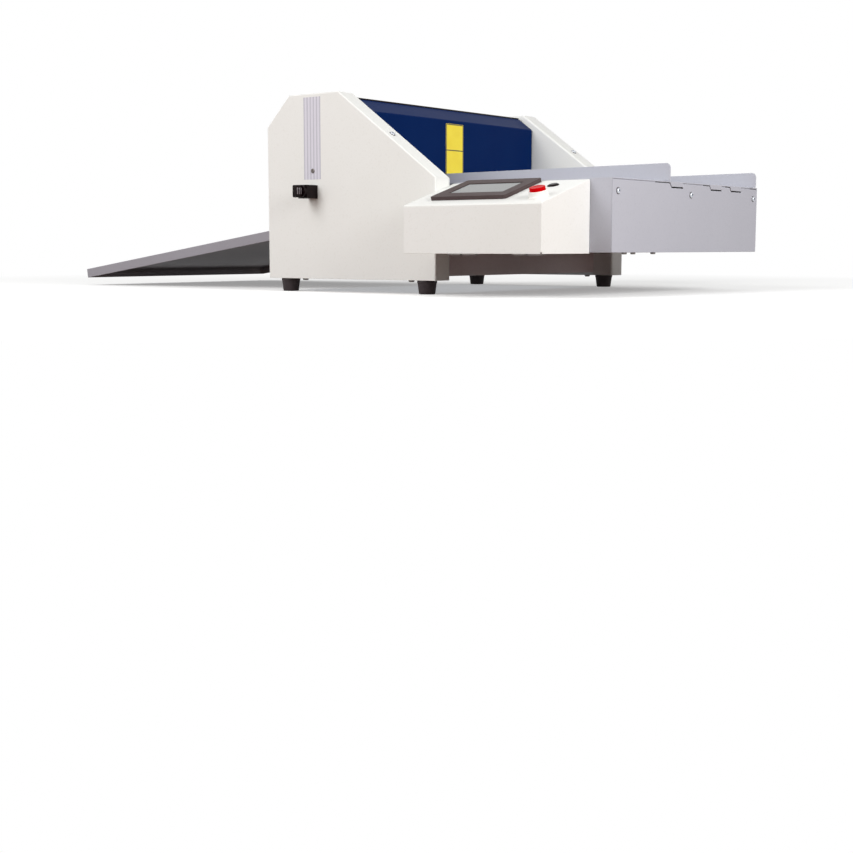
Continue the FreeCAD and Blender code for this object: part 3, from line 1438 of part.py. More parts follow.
def frame_bearings():
    """Ball bearings and a bush, each in its bore in a frame plate and flush with its outer side."""
    sides = {
        "left": ("left_plate - plate_thickness", "left_plate - plate_thickness + bearing_width"),
        "right": ("right_plate + plate_thickness - bearing_width", "right_plate + plate_thickness"),
    }
    rings = []
    for side, x in sides.items():
        for name, centre, outer, inner in (
            ("shaft", ("tool", "shaft_height"), "shaft_bearing_radius", "shaft_radius"),
            ("feed", ("roller_y", "feed_z"), "roller_bearing_radius", "journal_radius"),
            ("pressure", ("roller_y", "pressure_z"), "roller_bearing_radius", "journal_radius"),
        ):
            rings.append(bearing(f"{side}_{name}_bearing", x, centre, outer, inner))
    bush_x = ("left_plate - plate_thickness", "left_plate")
    rings.append(bearing("knob_bush", bush_x, ("knob_y", "knob_z"), "knob_bush_radius", "knob_shaft_radius"))
    return finish("frame_bearings", group("bearing_group", *rings))


def roller(name, centre, radius, journals):
    drum = rod(name + "_drum", "x", centre, radius, ("paper_left", "paper_right"))
    core = rod(name + "_core", "x", centre, "journal_radius", journals)
    return finish(name, fuse(name + "_solid", drum, core))


def rollers():
    plates = ("left_plate - plate_thickness", "right_plate + plate_thickness")
    roller("feed_roller", ("roller_y", "feed_z"), "feed_radius", ("left_pulley_out", plates[1]))
    roller("pressure_roller", ("roller_y", "pressure_z"), "pressure_radius", plates)


# ---------------------------------------------------------------- crease depth knob

KNOB_CENTRE = ("knob_y", "knob_z")


def depth_knob():
    body = DOC.addObject("Part::Cylinder", "knob_cap")
    bind(body, Radius="knob_radius", Height="knob_length")
    DOC.recompute()
    rounded = DOC.addObject("Part::Fillet", "knob_rounded")
    rounded.Base = body
    radius = float(SHEET.get("knob_round"))
    top = [
        number
        for number, edge in enumerate(body.Shape.Edges, 1)
        if abs(edge.BoundBox.ZMin - body.Shape.BoundBox.ZMax) < TOUCH
    ]
    rounded.Edges = [(number, radius, radius) for number in top]
    place(rounded, "knob_in", *KNOB_CENTRE, (0, -1, 0), "90")
    span = ("knob_in - knob_shaft_depth", "knob_in + overcut")
    bore = rod("knob_bore", "x", KNOB_CENTRE, "knob_shaft_radius", span)
    return finish("depth_knob", cut("depth_knob_cut", rounded, bore))


def knob_collar():
    span = ("left_out - knob_collar_length", "left_out")
    y = ("knob_y - knob_collar_half", "knob_y + knob_collar_half")
    z = ("knob_z - knob_collar_half", "knob_z + knob_collar_half")
    body = block("knob_collar_block", span, y, z)
    through = (f"{span[0]} - overcut", f"{span[1]} + overcut")
    bore = rod("knob_collar_bore", "x", KNOB_CENTRE, "knob_shaft_radius + running_gap", through)
    return finish("knob_collar", cut("knob_collar_cut", body, bore))


def depth_shaft():
    """The knob's shaft with the eccentric stop cam that limits the crease depth."""
    core_x = ("knob_in - knob_shaft_depth", "left_plate")
    core = rod("depth_core", "x", KNOB_CENTRE, "knob_shaft_radius", core_x)
    plate_out = "left_plate - plate_thickness - turning_gap"
    span = (f"{plate_out} - depth_cam_width", plate_out)
    cam = rod("depth_cam", "x", ("knob_y", "knob_z + depth_cam_throw"), "depth_cam_radius", span)
    return finish("depth_shaft", fuse("depth_shaft_solid", core, cam))


# ---------------------------------------------------------------- mains inlet and power supply

ROCKER_PIVOT = ("rocker_pivot", "rocker_middle")


def power_inlet():
    """The inlet module in the rear panel: a recessed three-pin socket with the switch above it."""
    right = "inlet_left + inlet_width"
    flange = block(
        "inlet_flange_plate",
        ("inlet_left", right),
        ("rear_panel_out", "inlet_face"),
        ("inlet_low", "inlet_low + inlet_height"),
    )
    box = block(
        "inlet_body",
        ("inlet_left + inlet_rim", f"{right} - inlet_rim"),
        ("rear_panel_out - inlet_depth", "rear_panel_out"),
        ("inlet_low + inlet_rim", "inlet_low + inlet_height - inlet_rim"),
    )
    solid = fuse("inlet_solid", flange, box)
    socket = block(
        "socket_recess",
        ("inlet_middle - socket_width / 2", "inlet_middle + socket_width / 2"),
        ("inlet_face - socket_depth", "inlet_face + overcut"),
        ("socket_low", "socket_low + socket_height"),
    )
    well = block(
        "rocker_well",
        ("inlet_middle - rocker_width / 2 - joint_gap", "inlet_middle + rocker_width / 2 + joint_gap"),
        ("inlet_face - rocker_depth", "inlet_face + overcut"),
        ("rocker_low - rocker_gap", "rocker_low + rocker_height + rocker_gap"),
    )
    reach = "(rocker_width / 2 + rocker_pin_reach + joint_gap)"
    seat_x = (f"inlet_middle - {reach}", f"inlet_middle + {reach}")
    seat = rod("rocker_seat", "x", ROCKER_PIVOT, "rocker_pin_radius + running_gap", seat_x)
    hollowed = cut("inlet_hollowed", solid, socket, well, seat)
    pins = []
    pin_places = (("-pin_spacing", "-pin_rise / 2"), ("0", "pin_rise / 2"), ("pin_spacing", "-pin_rise / 2"))
    for index, (across, up) in enumerate(pin_places):
        centre = f"socket_low + socket_height / 2 + {up}"
        x = (f"inlet_middle + {across} - pin_thickness / 2", f"inlet_middle + {across} + pin_thickness / 2")
        y = ("inlet_face - socket_depth", "inlet_face - socket_depth + pin_length")
        z = (f"{centre} - pin_height / 2", f"{centre} + pin_height / 2")
        pins.append(block(f"inlet_pin_{index}", x, y, z))
    return finish("power_inlet", fuse("power_inlet_solid", hollowed, *pins))


def power_rocker():
    """The switch rocker on its pin; its face is a shallow valley, and it rests tipped to one side."""
    half = "rocker_height / 2"
    back = "-(rocker_depth - rocker_pivot_depth - rocker_gap)"
    edge = "rocker_pivot_depth + rocker_proud"
    points = (
        (back, f"-{half} / 2"),
        (edge, f"-{half}"),
        (f"{edge} - rocker_swell", "0"),
        (edge, half),
        (back, f"{half} / 2"),
    )
    body = outline("rocker_body", "YZ", points, "rocker_width")
    place(body, "inlet_middle - rocker_width / 2", *ROCKER_PIVOT, (1, 0, 0), "rocker_tilt")
    reach = "(rocker_width / 2 + rocker_pin_reach)"
    pin_x = (f"inlet_middle - {reach}", f"inlet_middle + {reach}")
    pin = rod("rocker_pin", "x", ROCKER_PIVOT, "rocker_pin_radius", pin_x)
    return finish("power_rocker", fuse("power_rocker_solid", body, pin))


def power_supply():
    x = ("left_plate + supply_inset", "left_plate + supply_inset + supply_length")
    y = ("rear_panel_in - supply_back - supply_depth", "rear_panel_in - supply_back")
    return finish("power_supply", block("supply_box", x, y, ("floor_top", "floor_top + supply_height")))


# ---------------------------------------------------------------- build and write

def build():
    fill_sheet()
    for side in ("left", "right"):
        side_cover(side)
        frame_plate(side)
        side_guide(side)
        guide_carriage(side)
    for make in (
        side_cover_screws, rubber_feet, foot_screws,
        base_plate, front_lower_panel, rear_panel, upper_rear_panel,
        hinged_cover, cover_hinge_pins, cover_label_plate,
        infeed_table, table_front_panel, table_screws, guide_rail,
        console_housing, console_bottom_plate, screen_bezel, touch_screen,
        stop_button_collar, stop_button, start_button_collar, start_button, control_board,
        delivery_tray, tray_brackets,
        lower_tool_beam, beam_supports, crease_matrix, upper_tool_beam, crease_blade,
        guide_columns, column_bushes, cam_yokes, paper_guide_plates,
        eccentric_shaft, drives, crease_motor, stepper_motor, frame_bearings, rollers,
        depth_knob, knob_collar, depth_shaft,
        power_inlet, power_rocker, power_supply,
    ):
        make()
    DOC.recompute()


def check():
    for thing in DOC.Objects:
        for bad in ("Invalid", "Error"):
            if bad in thing.State:
                raise RuntimeError(f"{thing.Label} did not build: {thing.State}")
    for piece in FINISHED:
        if piece.Shape.isNull() or not piece.Shape.isValid():
            raise RuntimeError(f"{piece.Label} has no valid shape")
        if not piece.Shape.Solids:
            raise RuntimeError(f"{piece.Label} has no solid")


def write():
    os.makedirs("parts", exist_ok=True)
    for piece in FINISHED:
        piece.Shape.exportStep(f"parts/{piece.Label}.step")


build()
check()
write()
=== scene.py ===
import json
import math

import bmesh
import bpy
from mathutils import Matrix, Vector

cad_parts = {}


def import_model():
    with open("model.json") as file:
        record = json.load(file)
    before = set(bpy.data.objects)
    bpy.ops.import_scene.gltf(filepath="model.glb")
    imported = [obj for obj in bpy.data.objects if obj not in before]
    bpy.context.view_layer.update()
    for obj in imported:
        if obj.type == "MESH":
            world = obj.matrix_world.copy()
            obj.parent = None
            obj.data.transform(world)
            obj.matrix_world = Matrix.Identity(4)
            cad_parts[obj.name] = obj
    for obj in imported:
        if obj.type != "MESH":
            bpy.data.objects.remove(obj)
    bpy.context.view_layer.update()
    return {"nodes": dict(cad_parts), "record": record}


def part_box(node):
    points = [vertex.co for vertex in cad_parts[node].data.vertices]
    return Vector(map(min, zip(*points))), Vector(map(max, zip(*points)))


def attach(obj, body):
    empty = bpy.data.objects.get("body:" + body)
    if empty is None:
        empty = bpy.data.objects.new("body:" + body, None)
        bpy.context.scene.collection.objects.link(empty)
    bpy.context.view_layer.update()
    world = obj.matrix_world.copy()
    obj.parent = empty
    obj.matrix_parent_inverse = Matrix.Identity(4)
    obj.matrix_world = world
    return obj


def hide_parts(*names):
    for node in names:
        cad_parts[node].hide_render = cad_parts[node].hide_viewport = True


# Desktop paper creasing machine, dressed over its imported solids. Everything is in metres, and a
# number that is multiplied by MM is in millimetres.

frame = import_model()

SCENE = bpy.context.scene
NODES = frame["nodes"]
BODY = {
    node: body
    for body, nodes in frame["record"]["behaviour"]["bodies"].items()
    for node in nodes
}
MM = 0.001
# points of a CAD mesh that are closer than MERGE are one, and folds under FLAT are joined up
MERGE = 2e-6
FLAT = math.radians(0.3)
# edges that fold by more than FOLD are eased, and those that fold by more than SMOOTH shade sharply
FOLD = math.radians(38)
SMOOTH = math.radians(40)
EASE_STEPS = 2


# ---------------------------------------------------------------- camera

# the picture's side and the focal length in pixels, and the sensor in millimetres
FRAME_SIDE = 853
FOCAL = 1393.0
SENSOR = 36.0
EYE = Vector((-1.9948, -1.6485, 0.0747))
HEADING = math.radians(37.9)
PITCH = math.radians(7.34)
NEAR, FAR = 0.05, 60.0


def camera():
    """The camera at EYE, turned by HEADING from the X axis and tipped down by PITCH."""
    data = bpy.data.cameras.new("camera")
    data.sensor_width = SENSOR
    data.lens = FOCAL / FRAME_SIDE * SENSOR
    data.clip_start = NEAR
    data.clip_end = FAR
    eye = bpy.data.objects.new("camera", data)
    SCENE.collection.objects.link(eye)
    level = math.cos(PITCH)
    look = Vector((level * math.cos(HEADING), level * math.sin(HEADING), -math.sin(PITCH)))
    eye.location = EYE
    eye.rotation_euler = look.to_track_quat("-Z", "Y").to_euler()
    SCENE.camera = eye


camera()


# ---------------------------------------------------------------- nodes

def colour(code):
    """An sRGB hex colour as the linear colour that a shader takes."""
    parts = [int(code[start:start + 2], 16) / 255 for start in (1, 3, 5)]
    linear = [
        part / 12.92 if part <= 0.04045 else ((part + 0.055) / 1.055) ** 2.4
        for part in parts
    ]
    return (*linear, 1.0)


def add(tree, kind, inputs=None, **settings):
    """One node with its settings; an input's value is a number, or a socket to link."""
    made = tree.nodes.new(kind)
    for name, value in settings.items():
        setattr(made, name, value)
    for key, value in (inputs or {}).items():
        if isinstance(value, bpy.types.NodeSocket):
            tree.links.new(value, made.inputs[key])
        else:
            made.inputs[key].default_value = value
    return made


# a Mix node has sockets for every kind of value: these are its two colours and its result
MIX_A, MIX_B, MIXED = 6, 7, 2


def finish_of(name, sockets):
    """A new material: its tree, its shader and the object's own coordinates."""
    material = bpy.data.materials.new(name)
    material.use_nodes = True
    tree = material.node_tree
    tree.nodes.clear()
    shader = add(tree, "ShaderNodeBsdfPrincipled", sockets)
    add(tree, "ShaderNodeOutputMaterial", {"Surface": shader.outputs["BSDF"]})
    place = add(tree, "ShaderNodeTexCoord").outputs["Object"]
    return material, tree, shader, place


def grain(tree, place, size, detail=2.0, stretch=(1, 1, 1)):
    """Noise whose lumps are about size metres across, drawn out along an axis where stretch is small."""
    scaled = add(tree, "ShaderNodeMapping", {"Vector": place, "Scale": stretch}).outputs["Vector"]
    noise = add(tree, "ShaderNodeTexNoise", {"Vector": scaled, "Scale": 1 / size, "Detail": detail})
    return noise.outputs["Fac"]


def between(tree, amount, low, high, from_low=0.3, from_high=0.7):
    """An amount from one range laid over another; noise lies mostly between 0.3 and 0.7."""
    ranged = {
        "Value": amount,
        "From Min": from_low,
        "From Max": from_high,
        "To Min": low,
        "To Max": high,
    }
    return add(tree, "ShaderNodeMapRange", ranged).outputs["Result"]


def blended(tree, amount, first, second):
    """A colour between two others; each is a hex code or a socket."""
    pair = [colour(one) if isinstance(one, str) else one for one in (first, second)]
    inputs = {0: amount, MIX_A: pair[0], MIX_B: pair[1]}
    return add(tree, "ShaderNodeMix", inputs, data_type="RGBA").outputs[MIXED]


def calculated(tree, operation, *values):
    """What a Math node makes of one or two numbers or sockets."""
    inputs = dict(enumerate(values))
    return add(tree, "ShaderNodeMath", inputs, operation=operation).outputs[0]


def raise_surface(tree, shader, height, depth, strength):
    """Bumps the shader by a height whose full step is depth metres."""
    inputs = {"Height": height, "Distance": depth, "Strength": strength}
    bump = add(tree, "ShaderNodeBump", inputs).outputs["Normal"]
    tree.links.new(bump, shader.inputs["Normal"])


# ---------------------------------------------------------------- finishes

def powder_coat(name, main, warm, fleck):
    """Polyester powder baked on sheet steel: matt, with a fine orange peel and faint flecks.
    The real peel is under a millimetre across; it is drawn at about 2 mm so that it shows."""
    material, tree, shader, place = finish_of(name, {"Specular IOR Level": 0.3})
    wash = grain(tree, place, size=0.16, detail=3)
    peel = grain(tree, place, size=0.0021, detail=1.5)
    specks = grain(tree, place, size=0.0032, detail=0)
    base = blended(tree, between(tree, wash, 0, 1), main, warm)
    dotted = blended(tree, between(tree, specks, 0, 0.35, 0.62, 0.80), base, fleck)
    tree.links.new(dotted, shader.inputs["Base Color"])
    tree.links.new(between(tree, peel, 0.40, 0.52), shader.inputs["Roughness"])
    raise_surface(tree, shader, peel, depth=0.00006, strength=0.55)
    return material


def navy_lacquer():
    """Stoved satin lacquer on the safety cover: deep blue, little shine, a slow ripple.
    Real dust nibs are under a millimetre across; they are drawn at about 2 mm so that they show."""
    sockets = {"Specular IOR Level": 0.02}
    material, tree, shader, place = finish_of("navy stoved lacquer", sockets)
    wash = grain(tree, place, size=0.12, detail=3)
    ripple = grain(tree, place, size=0.006, detail=1)
    dust = grain(tree, place, size=0.0018, detail=0)
    base = blended(tree, between(tree, wash, 0, 1), "#021F52", "#052355")
    dotted = blended(tree, between(tree, dust, 0, 0.18, 0.66, 0.85), base, "#122D60")
    tree.links.new(dotted, shader.inputs["Base Color"])
    tree.links.new(between(tree, wash, 0.30, 0.38), shader.inputs["Roughness"])
    raise_surface(tree, shader, ripple, depth=0.00008, strength=0.35)
    return material


def moulded(name, main, mottle_and_painted_highlight, rough, depth=0.00005, shine=0.3):
    """Injection-moulded plastic: an even colour, spark-eroded grain, a soft sheen.
    The real grain is about 0.2 mm; it is drawn at about 1 mm so that it shows."""
    sockets = {"Specular IOR Level": shine}
    material, tree, shader, place = finish_of(name, sockets)
    wash = grain(tree, place, size=0.03, detail=3)
    fine = grain(tree, place, size=0.0011, detail=1)
    base = blended(tree, between(tree, wash, 0, 1), main, mottle_and_painted_highlight)
    tree.links.new(base, shader.inputs["Base Color"])
    tree.links.new(between(tree, fine, rough - 0.05, rough + 0.06), shader.inputs["Roughness"])
    raise_surface(tree, shader, fine, depth, strength=0.5)
    return material


def worked_metal(name, main, tint, rough, stretch):
    """Machined metal: fine lines drawn out along one axis, and a faint mottle.
    The real lines are about 0.1 mm apart; they are drawn at about 1 mm so that they show."""
    material, tree, shader, place = finish_of(name, {"Metallic": 1.0})
    lines = grain(tree, place, size=0.0012, detail=3, stretch=stretch)
    mottle = grain(tree, place, size=0.02, detail=3)
    base = blended(tree, between(tree, mottle, 0, 1), main, tint)
    tree.links.new(base, shader.inputs["Base Color"])
    tree.links.new(between(tree, lines, rough - 0.08, rough + 0.10), shader.inputs["Roughness"])
    raise_surface(tree, shader, lines, depth=0.00003, strength=0.5)
    return material


def rubber(name, main, bloom, pore=0.0016):
    """Vulcanised rubber: near black, dull, with a pale bloom in patches.
    Its real pores are finer than 0.5 mm; they are drawn at 1 to 2 mm so that they show."""
    material, tree, shader, place = finish_of(name, {"Specular IOR Level": 0.3})
    patches = grain(tree, place, size=0.014, detail=4)
    pores = grain(tree, place, size=pore, detail=2)
    base = blended(tree, between(tree, patches, 0, 0.8, 0.4, 0.75), main, bloom)
    tree.links.new(base, shader.inputs["Base Color"])
    tree.links.new(between(tree, pores, 0.62, 0.82), shader.inputs["Roughness"])
    raise_surface(tree, shader, pores, depth=0.00009, strength=0.6)
    return material


def printed_ink(name, main, tint):
    """Screen-printed ink on the powder coat: flat and slightly smoother than the coat.
    The screen's own marks are about 0.1 mm; they are drawn at about 1 mm so that they show."""
    material, tree, shader, place = finish_of(name, {"Specular IOR Level": 0.3})
    ink = grain(tree, place, size=0.0012, detail=2)
    base = blended(tree, between(tree, ink, 0, 1), main, tint)
    tree.links.new(base, shader.inputs["Base Color"])
    tree.links.new(between(tree, ink, 0.34, 0.44), shader.inputs["Roughness"])
    raise_surface(tree, shader, ink, depth=0.00002, strength=0.4)
    return material


def label_vinyl(centre, half, divider):
    """Printed yellow vinyl: two bare yellow fields inside a thin dark line. It takes the label's
    middle, its half width and half height, and the height of the divider over the middle."""
    sockets = {"Coat Weight": 0.25, "Coat Roughness": 0.2}
    material, tree, shader, place = finish_of("yellow label vinyl", sockets)
    shift = {"Vector": place, "Location": tuple(-part for part in centre)}
    middle = add(tree, "ShaderNodeMapping", shift).outputs["Vector"]
    axes = add(tree, "ShaderNodeSeparateXYZ", {"Vector": middle}).outputs
    line, inset = 0.0016, 0.0013
    full, none = line * 0.45, line * 0.65
    from_lines = []
    for axis, reach in (("X", half[0]), ("Z", half[1])):
        distance = calculated(tree, "ABSOLUTE", axes[axis])
        from_lines.append(calculated(tree, "SUBTRACT", distance, reach - inset))
    nearer = calculated(tree, "MAXIMUM", *from_lines)
    gap = calculated(tree, "ABSOLUTE", nearer)
    lower = calculated(tree, "SUBTRACT", axes["Z"], divider)
    across = calculated(tree, "ABSOLUTE", lower)
    nearest = calculated(tree, "MINIMUM", gap, across)
    mark = between(tree, nearest, 1, 0, full, none)
    tone = grain(tree, place, size=0.02, detail=3)
    fine = grain(tree, place, size=0.0013, detail=1)
    field = blended(tree, between(tree, tone, 0, 1), "#FBE32C", "#F6DC22")
    tree.links.new(blended(tree, mark, field, "#2C2716"), shader.inputs["Base Color"])
    tree.links.new(between(tree, fine, 0.32, 0.42), shader.inputs["Roughness"])
    raise_surface(tree, shader, fine, depth=0.00002, strength=0.4)
    return material


def display_glass():
    """The touch film over an unlit display: grey green, very smooth, a few fine scratches."""
    sockets = {"Coat Weight": 0.2, "Coat Roughness": 0.04, "Specular IOR Level": 0.35}
    material, tree, shader, place = finish_of("touch film over a display", sockets)
    smears = grain(tree, place, size=0.03, detail=3, stretch=(0.4, 1, 1))
    fine = grain(tree, place, size=0.0009, detail=0)
    base = blended(tree, between(tree, smears, 0, 1), "#474C4B", "#4E5352")
    tree.links.new(base, shader.inputs["Base Color"])
    tree.links.new(between(tree, smears, 0.07, 0.15), shader.inputs["Roughness"])
    raise_surface(tree, shader, fine, depth=0.00001, strength=0.2)
    return material


def circuit_board():
    """Glass-epoxy board under green solder mask, with the copper runs faintly raised.
    Real tracks are finer than 0.5 mm; they are drawn about 3 mm long so that they show."""
    material, tree, shader, place = finish_of("green solder mask", {"Coat Weight": 0.3})
    bricks = {"Vector": place, "Scale": 160.0, "Mortar Size": 0.03}
    weave = add(tree, "ShaderNodeTexBrick", bricks)
    runs = blended(tree, weave.outputs["Fac"], "#12552B", "#1E7A40")
    tree.links.new(runs, shader.inputs["Base Color"])
    flow = grain(tree, place, size=0.004)
    tree.links.new(between(tree, flow, 0.3, 0.4), shader.inputs["Roughness"])
    raise_surface(tree, shader, weave.outputs["Fac"], depth=0.00004, strength=0.6)
    return material


# every finish by a short name; stretch is small along the axis that a metal's lines run in
EVEN, ALONG_X, ALONG_Z = (1, 1, 1), (0.05, 1, 1), (1, 1, 0.05)
FINISH = {
    "housing": powder_coat("warm white powder coat", "#F0F0ED", "#EDEDE9", "#E6E5E0"),
    "table": powder_coat("lilac grey powder coat", "#B8B9C2", "#B4B5BE", "#ADAEB7"),
    "tray": powder_coat("dusk grey powder coat", "#9F9CA4", "#9B989F", "#949199"),
    "shade": powder_coat("pale warm grey powder coat", "#E4D2D1", "#DECBCA", "#D1BEBD"),
    "cover": navy_lacquer(),
    "zinc": worked_metal("bright zinc plate", "#C6C9CE", "#BBBEC6", 0.30, EVEN),
    "steel_x": worked_metal("ground tool steel", "#B4B6BA", "#A9ABB0", 0.30, ALONG_X),
    "steel_z": worked_metal("polished guide steel", "#C2C4C8", "#B6B8BD", 0.20, ALONG_Z),
    "bronze": worked_metal("sintered bronze", "#A9824A", "#9C7540", 0.38, (1, 1, 0.2)),
    "aluminium": worked_metal("turned aluminium", "#C9CACC", "#BFC0C3", 0.28, (1, 0.08, 0.08)),
    "motor": moulded("black motor enamel", "#2A2829", "#343132", rough=0.45),
    "roller": rubber("ground roller rubber", "#3A393C", "#47464A", pore=0.0022),
    "foot": rubber("moulded foot rubber", "#332C2E", "#423A3C"),
    "belt": rubber("belt rubber", "#1D1D1E", "#2A2A2B", pore=0.0012),
    "black": moulded("black moulded nylon", "#0D0506", "#170B0D", rough=0.22, depth=0.00003, shine=0.12),
    # the knob's ribs: pale nylon as a painted highlight for the light on their edges; in every moulded
    # finish the second colour is a random mottle
    "mottle_and_painted_highlight": moulded("black nylon painted pale as highlight", "#8C8287", "#5E555A", rough=0.24, depth=0.00002, shine=0.8),
    "red": moulded("red moulded cap", "#C80009", "#C00007", rough=0.3, depth=0.00002, shine=0.04),
    "white": moulded("white moulded collar", "#F0EFEC", "#E9E8E4", rough=0.34, depth=0.00003),
    "bezel": moulded("dark grey moulded bezel", "#534848", "#4D4242", rough=0.42, shine=0.03),
    "screen": display_glass(),
    "board": circuit_board(),
    "band": printed_ink("pale lilac screen ink", "#DEDCE6", "#DAD8E2"),
    "stripe": printed_ink("grey screen ink", "#C2C0CA", "#C6C4CE"),
    "dark_zinc": worked_metal("dark zinc plate", "#6E6865", "#625C5A", 0.34, EVEN),
}


# ---------------------------------------------------------------- shapes

def shown(name, shape, material):
    """A finished mesh object from a bmesh, smooth except where it folds sharply."""
    mesh = bpy.data.meshes.new(name)
    shape.to_mesh(mesh)
    shape.free()
    mesh.materials.clear()
    mesh.materials.append(FINISH[material])
    mesh.shade_smooth()
    mesh.set_sharp_from_angle(angle=SMOOTH)
    piece = bpy.data.objects.new(name, mesh)
    SCENE.collection.objects.link(piece)
    return piece


def settle(piece):
    """Keeps what the modifiers make as the piece's own plain mesh."""
    graph = bpy.context.evaluated_depsgraph_get()
    made = bpy.data.meshes.new_from_object(
        piece.evaluated_get(graph), preserve_all_data_layers=True, depsgraph=graph
    )
    piece.modifiers.clear()
    piece.data = made
    return piece


def even(piece):
    """Weights the shading by face size, so that flats stay flat beside their rounded edges."""
    shading = piece.modifiers.new("even_shading", "WEIGHTED_NORMAL")
    shading.keep_sharp = True
    return settle(piece)


def stand_for(piece, node):
    """The piece takes the place of a CAD node: its body, and the node itself."""
    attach(piece, BODY[node])
    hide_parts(node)


def go_with(piece, node):
    """The piece is extra: it rides with a CAD node's body."""
    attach(piece, BODY[node])


def merged(node):
    """A merged copy of a CAD node's mesh, its flat faces joined up again."""
    shape = bmesh.new()
    shape.from_mesh(NODES[node].data)
    bmesh.ops.remove_doubles(shape, verts=shape.verts, dist=MERGE)
    bmesh.ops.dissolve_limit(shape, angle_limit=FLAT, verts=shape.verts, edges=shape.edges)
    return shape


def eased(node, material, width):
    """The node's own shape with the sharp edges of its sheet or block eased."""
    shape = merged(node)
    sharp = [
        edge
        for edge in shape.edges
        if len(edge.link_faces) == 2 and edge.is_convex and edge.calc_face_angle(0) > FOLD
    ]
    bmesh.ops.bevel(
        shape, geom=sharp, offset=width, offset_type="OFFSET", segments=EASE_STEPS, profile=0.5,
        affect="EDGES", clamp_overlap=False,
    )
    stand_for(even(shown(node + "_piece", shape, material)), node)


def ring_radius(radius, angle):
    """A ring's radius at an angle; a rule of the angle makes a ring that isn't round."""
    return radius(angle) if callable(radius) else radius


def turned(profile, placing, segments=48, closed=False):
    """A turned shape from (radius, height) pairs. A radius of 0 is a pole, and one that is a rule
    of the angle makes hexagons and crosses. A closed profile joins its last ring to its first."""
    shape = bmesh.new()
    rings = []
    for radius, height in profile:
        if radius == 0:
            rings.append([shape.verts.new(placing @ Vector((0, 0, height)))])
            continue
        ring = []
        for index in range(segments):
            angle = math.tau * index / segments
            reach = ring_radius(radius, angle)
            spot = Vector((reach * math.cos(angle), reach * math.sin(angle), height))
            ring.append(shape.verts.new(placing @ spot))
        rings.append(ring)
    pairs = list(zip(rings, rings[1:]))
    if closed:
        pairs.append((rings[-1], rings[0]))
    for low, high in pairs:
        for index in range(segments):
            after = (index + 1) % segments
            corners = []
            for ring, order in ((low, (index, after)), (high, (after, index))):
                corners += [ring[0]] if len(ring) == 1 else [ring[step] for step in order]
            shape.faces.new(corners)
    bmesh.ops.recalc_face_normals(shape, faces=shape.faces)
    return shape


# a rounded corner uses at most this share of the side before and after it
MOST_OF_A_SIDE = 0.49
NO_ROUNDING = 1e-6


def soft(points, radius, steps=4):
    """The profile with each inner corner rounded; a corner with a third value has its own radius."""
    kept = [points[0][:2]]
    for before, corner, after in zip(points, points[1:], points[2:]):
        here = Vector(corner[:2])
        size = corner[2] if len(corner) > 2 else radius
        back = Vector(before[:2]) - here
        ahead = Vector(after[:2]) - here
        cut = min(size, back.length * MOST_OF_A_SIDE, ahead.length * MOST_OF_A_SIDE)
        if cut < NO_ROUNDING:
            kept.append(tuple(here))
            continue
        start = here + back.normalized() * cut
        end = here + ahead.normalized() * cut
        for step in range(steps + 1):
            share = step / steps
            spot = start.lerp(here, share).lerp(here.lerp(end, share), share)
            kept.append(tuple(spot))
    kept.append(points[-1][:2])
    return kept


def in_mm(points):
    """A profile that is given in millimetres, in metres."""
    return [tuple(part * MM for part in point) for point in points]


def block_of(size, spot, edge):
    """A block with rounded edges: its three sides, its middle and its edge radius."""
    shape = bmesh.new()
    bmesh.ops.create_cube(shape, size=1.0, matrix=Matrix.Diagonal((*size, 1)))
    bmesh.ops.bevel(shape, geom=shape.edges[:], offset=edge, segments=3, profile=0.5, affect="EDGES")
    bmesh.ops.translate(shape, verts=shape.verts, vec=spot)
    return shape


def facing(spot, axis):
    """Places a turned shape: its height runs along axis from spot."""
    turn = Vector(axis).to_track_quat("Z", "Y").to_matrix().to_4x4()
    return Matrix.Translation(Vector(spot)) @ turn


# ---------------------------------------------------------------- trees

def geometry_tree(name, sizes):
    """A geometry tree with named inputs, and the sockets that they give."""
    tree = bpy.data.node_groups.new(name, "GeometryNodeTree")
    tree.is_modifier = True
    tree.interface.new_socket(name="Geometry", in_out="OUTPUT", socket_type="NodeSocketGeometry")
    tree.interface.new_socket(name="Geometry", in_out="INPUT", socket_type="NodeSocketGeometry")
    for label, kind in sizes.items():
        tree.interface.new_socket(name=label, in_out="INPUT", socket_type="NodeSocket" + kind)
    return tree, add(tree, "NodeGroupInput").outputs


def close_tree(tree, geometry, material):
    """Ends a tree: its instances made real, then painted."""
    real = add(tree, "GeometryNodeRealizeInstances", {"Geometry": geometry}).outputs[0]
    painted = add(tree, "GeometryNodeSetMaterial", {"Geometry": real, "Material": material}).outputs[0]
    add(tree, "NodeGroupOutput", {"Geometry": painted})
    return tree


def parts_at_points():
    """Puts one part at each loose point, turned by the point's own angles."""
    tree, given = geometry_tree("parts_at_points", {"Part": "Object", "Material": "Material"})
    part = add(tree, "GeometryNodeObjectInfo", {"Object": given["Part"]}).outputs["Geometry"]
    angles = add(tree, "GeometryNodeInputNamedAttribute", {"Name": "turn"}, data_type="FLOAT_VECTOR")
    turn = add(tree, "FunctionNodeEulerToRotation", {0: angles.outputs[0]}).outputs[0]
    placed = {"Points": given["Geometry"], "Instance": part, "Rotation": turn}
    spread = add(tree, "GeometryNodeInstanceOnPoints", placed).outputs[0]
    return close_tree(tree, spread, given["Material"])


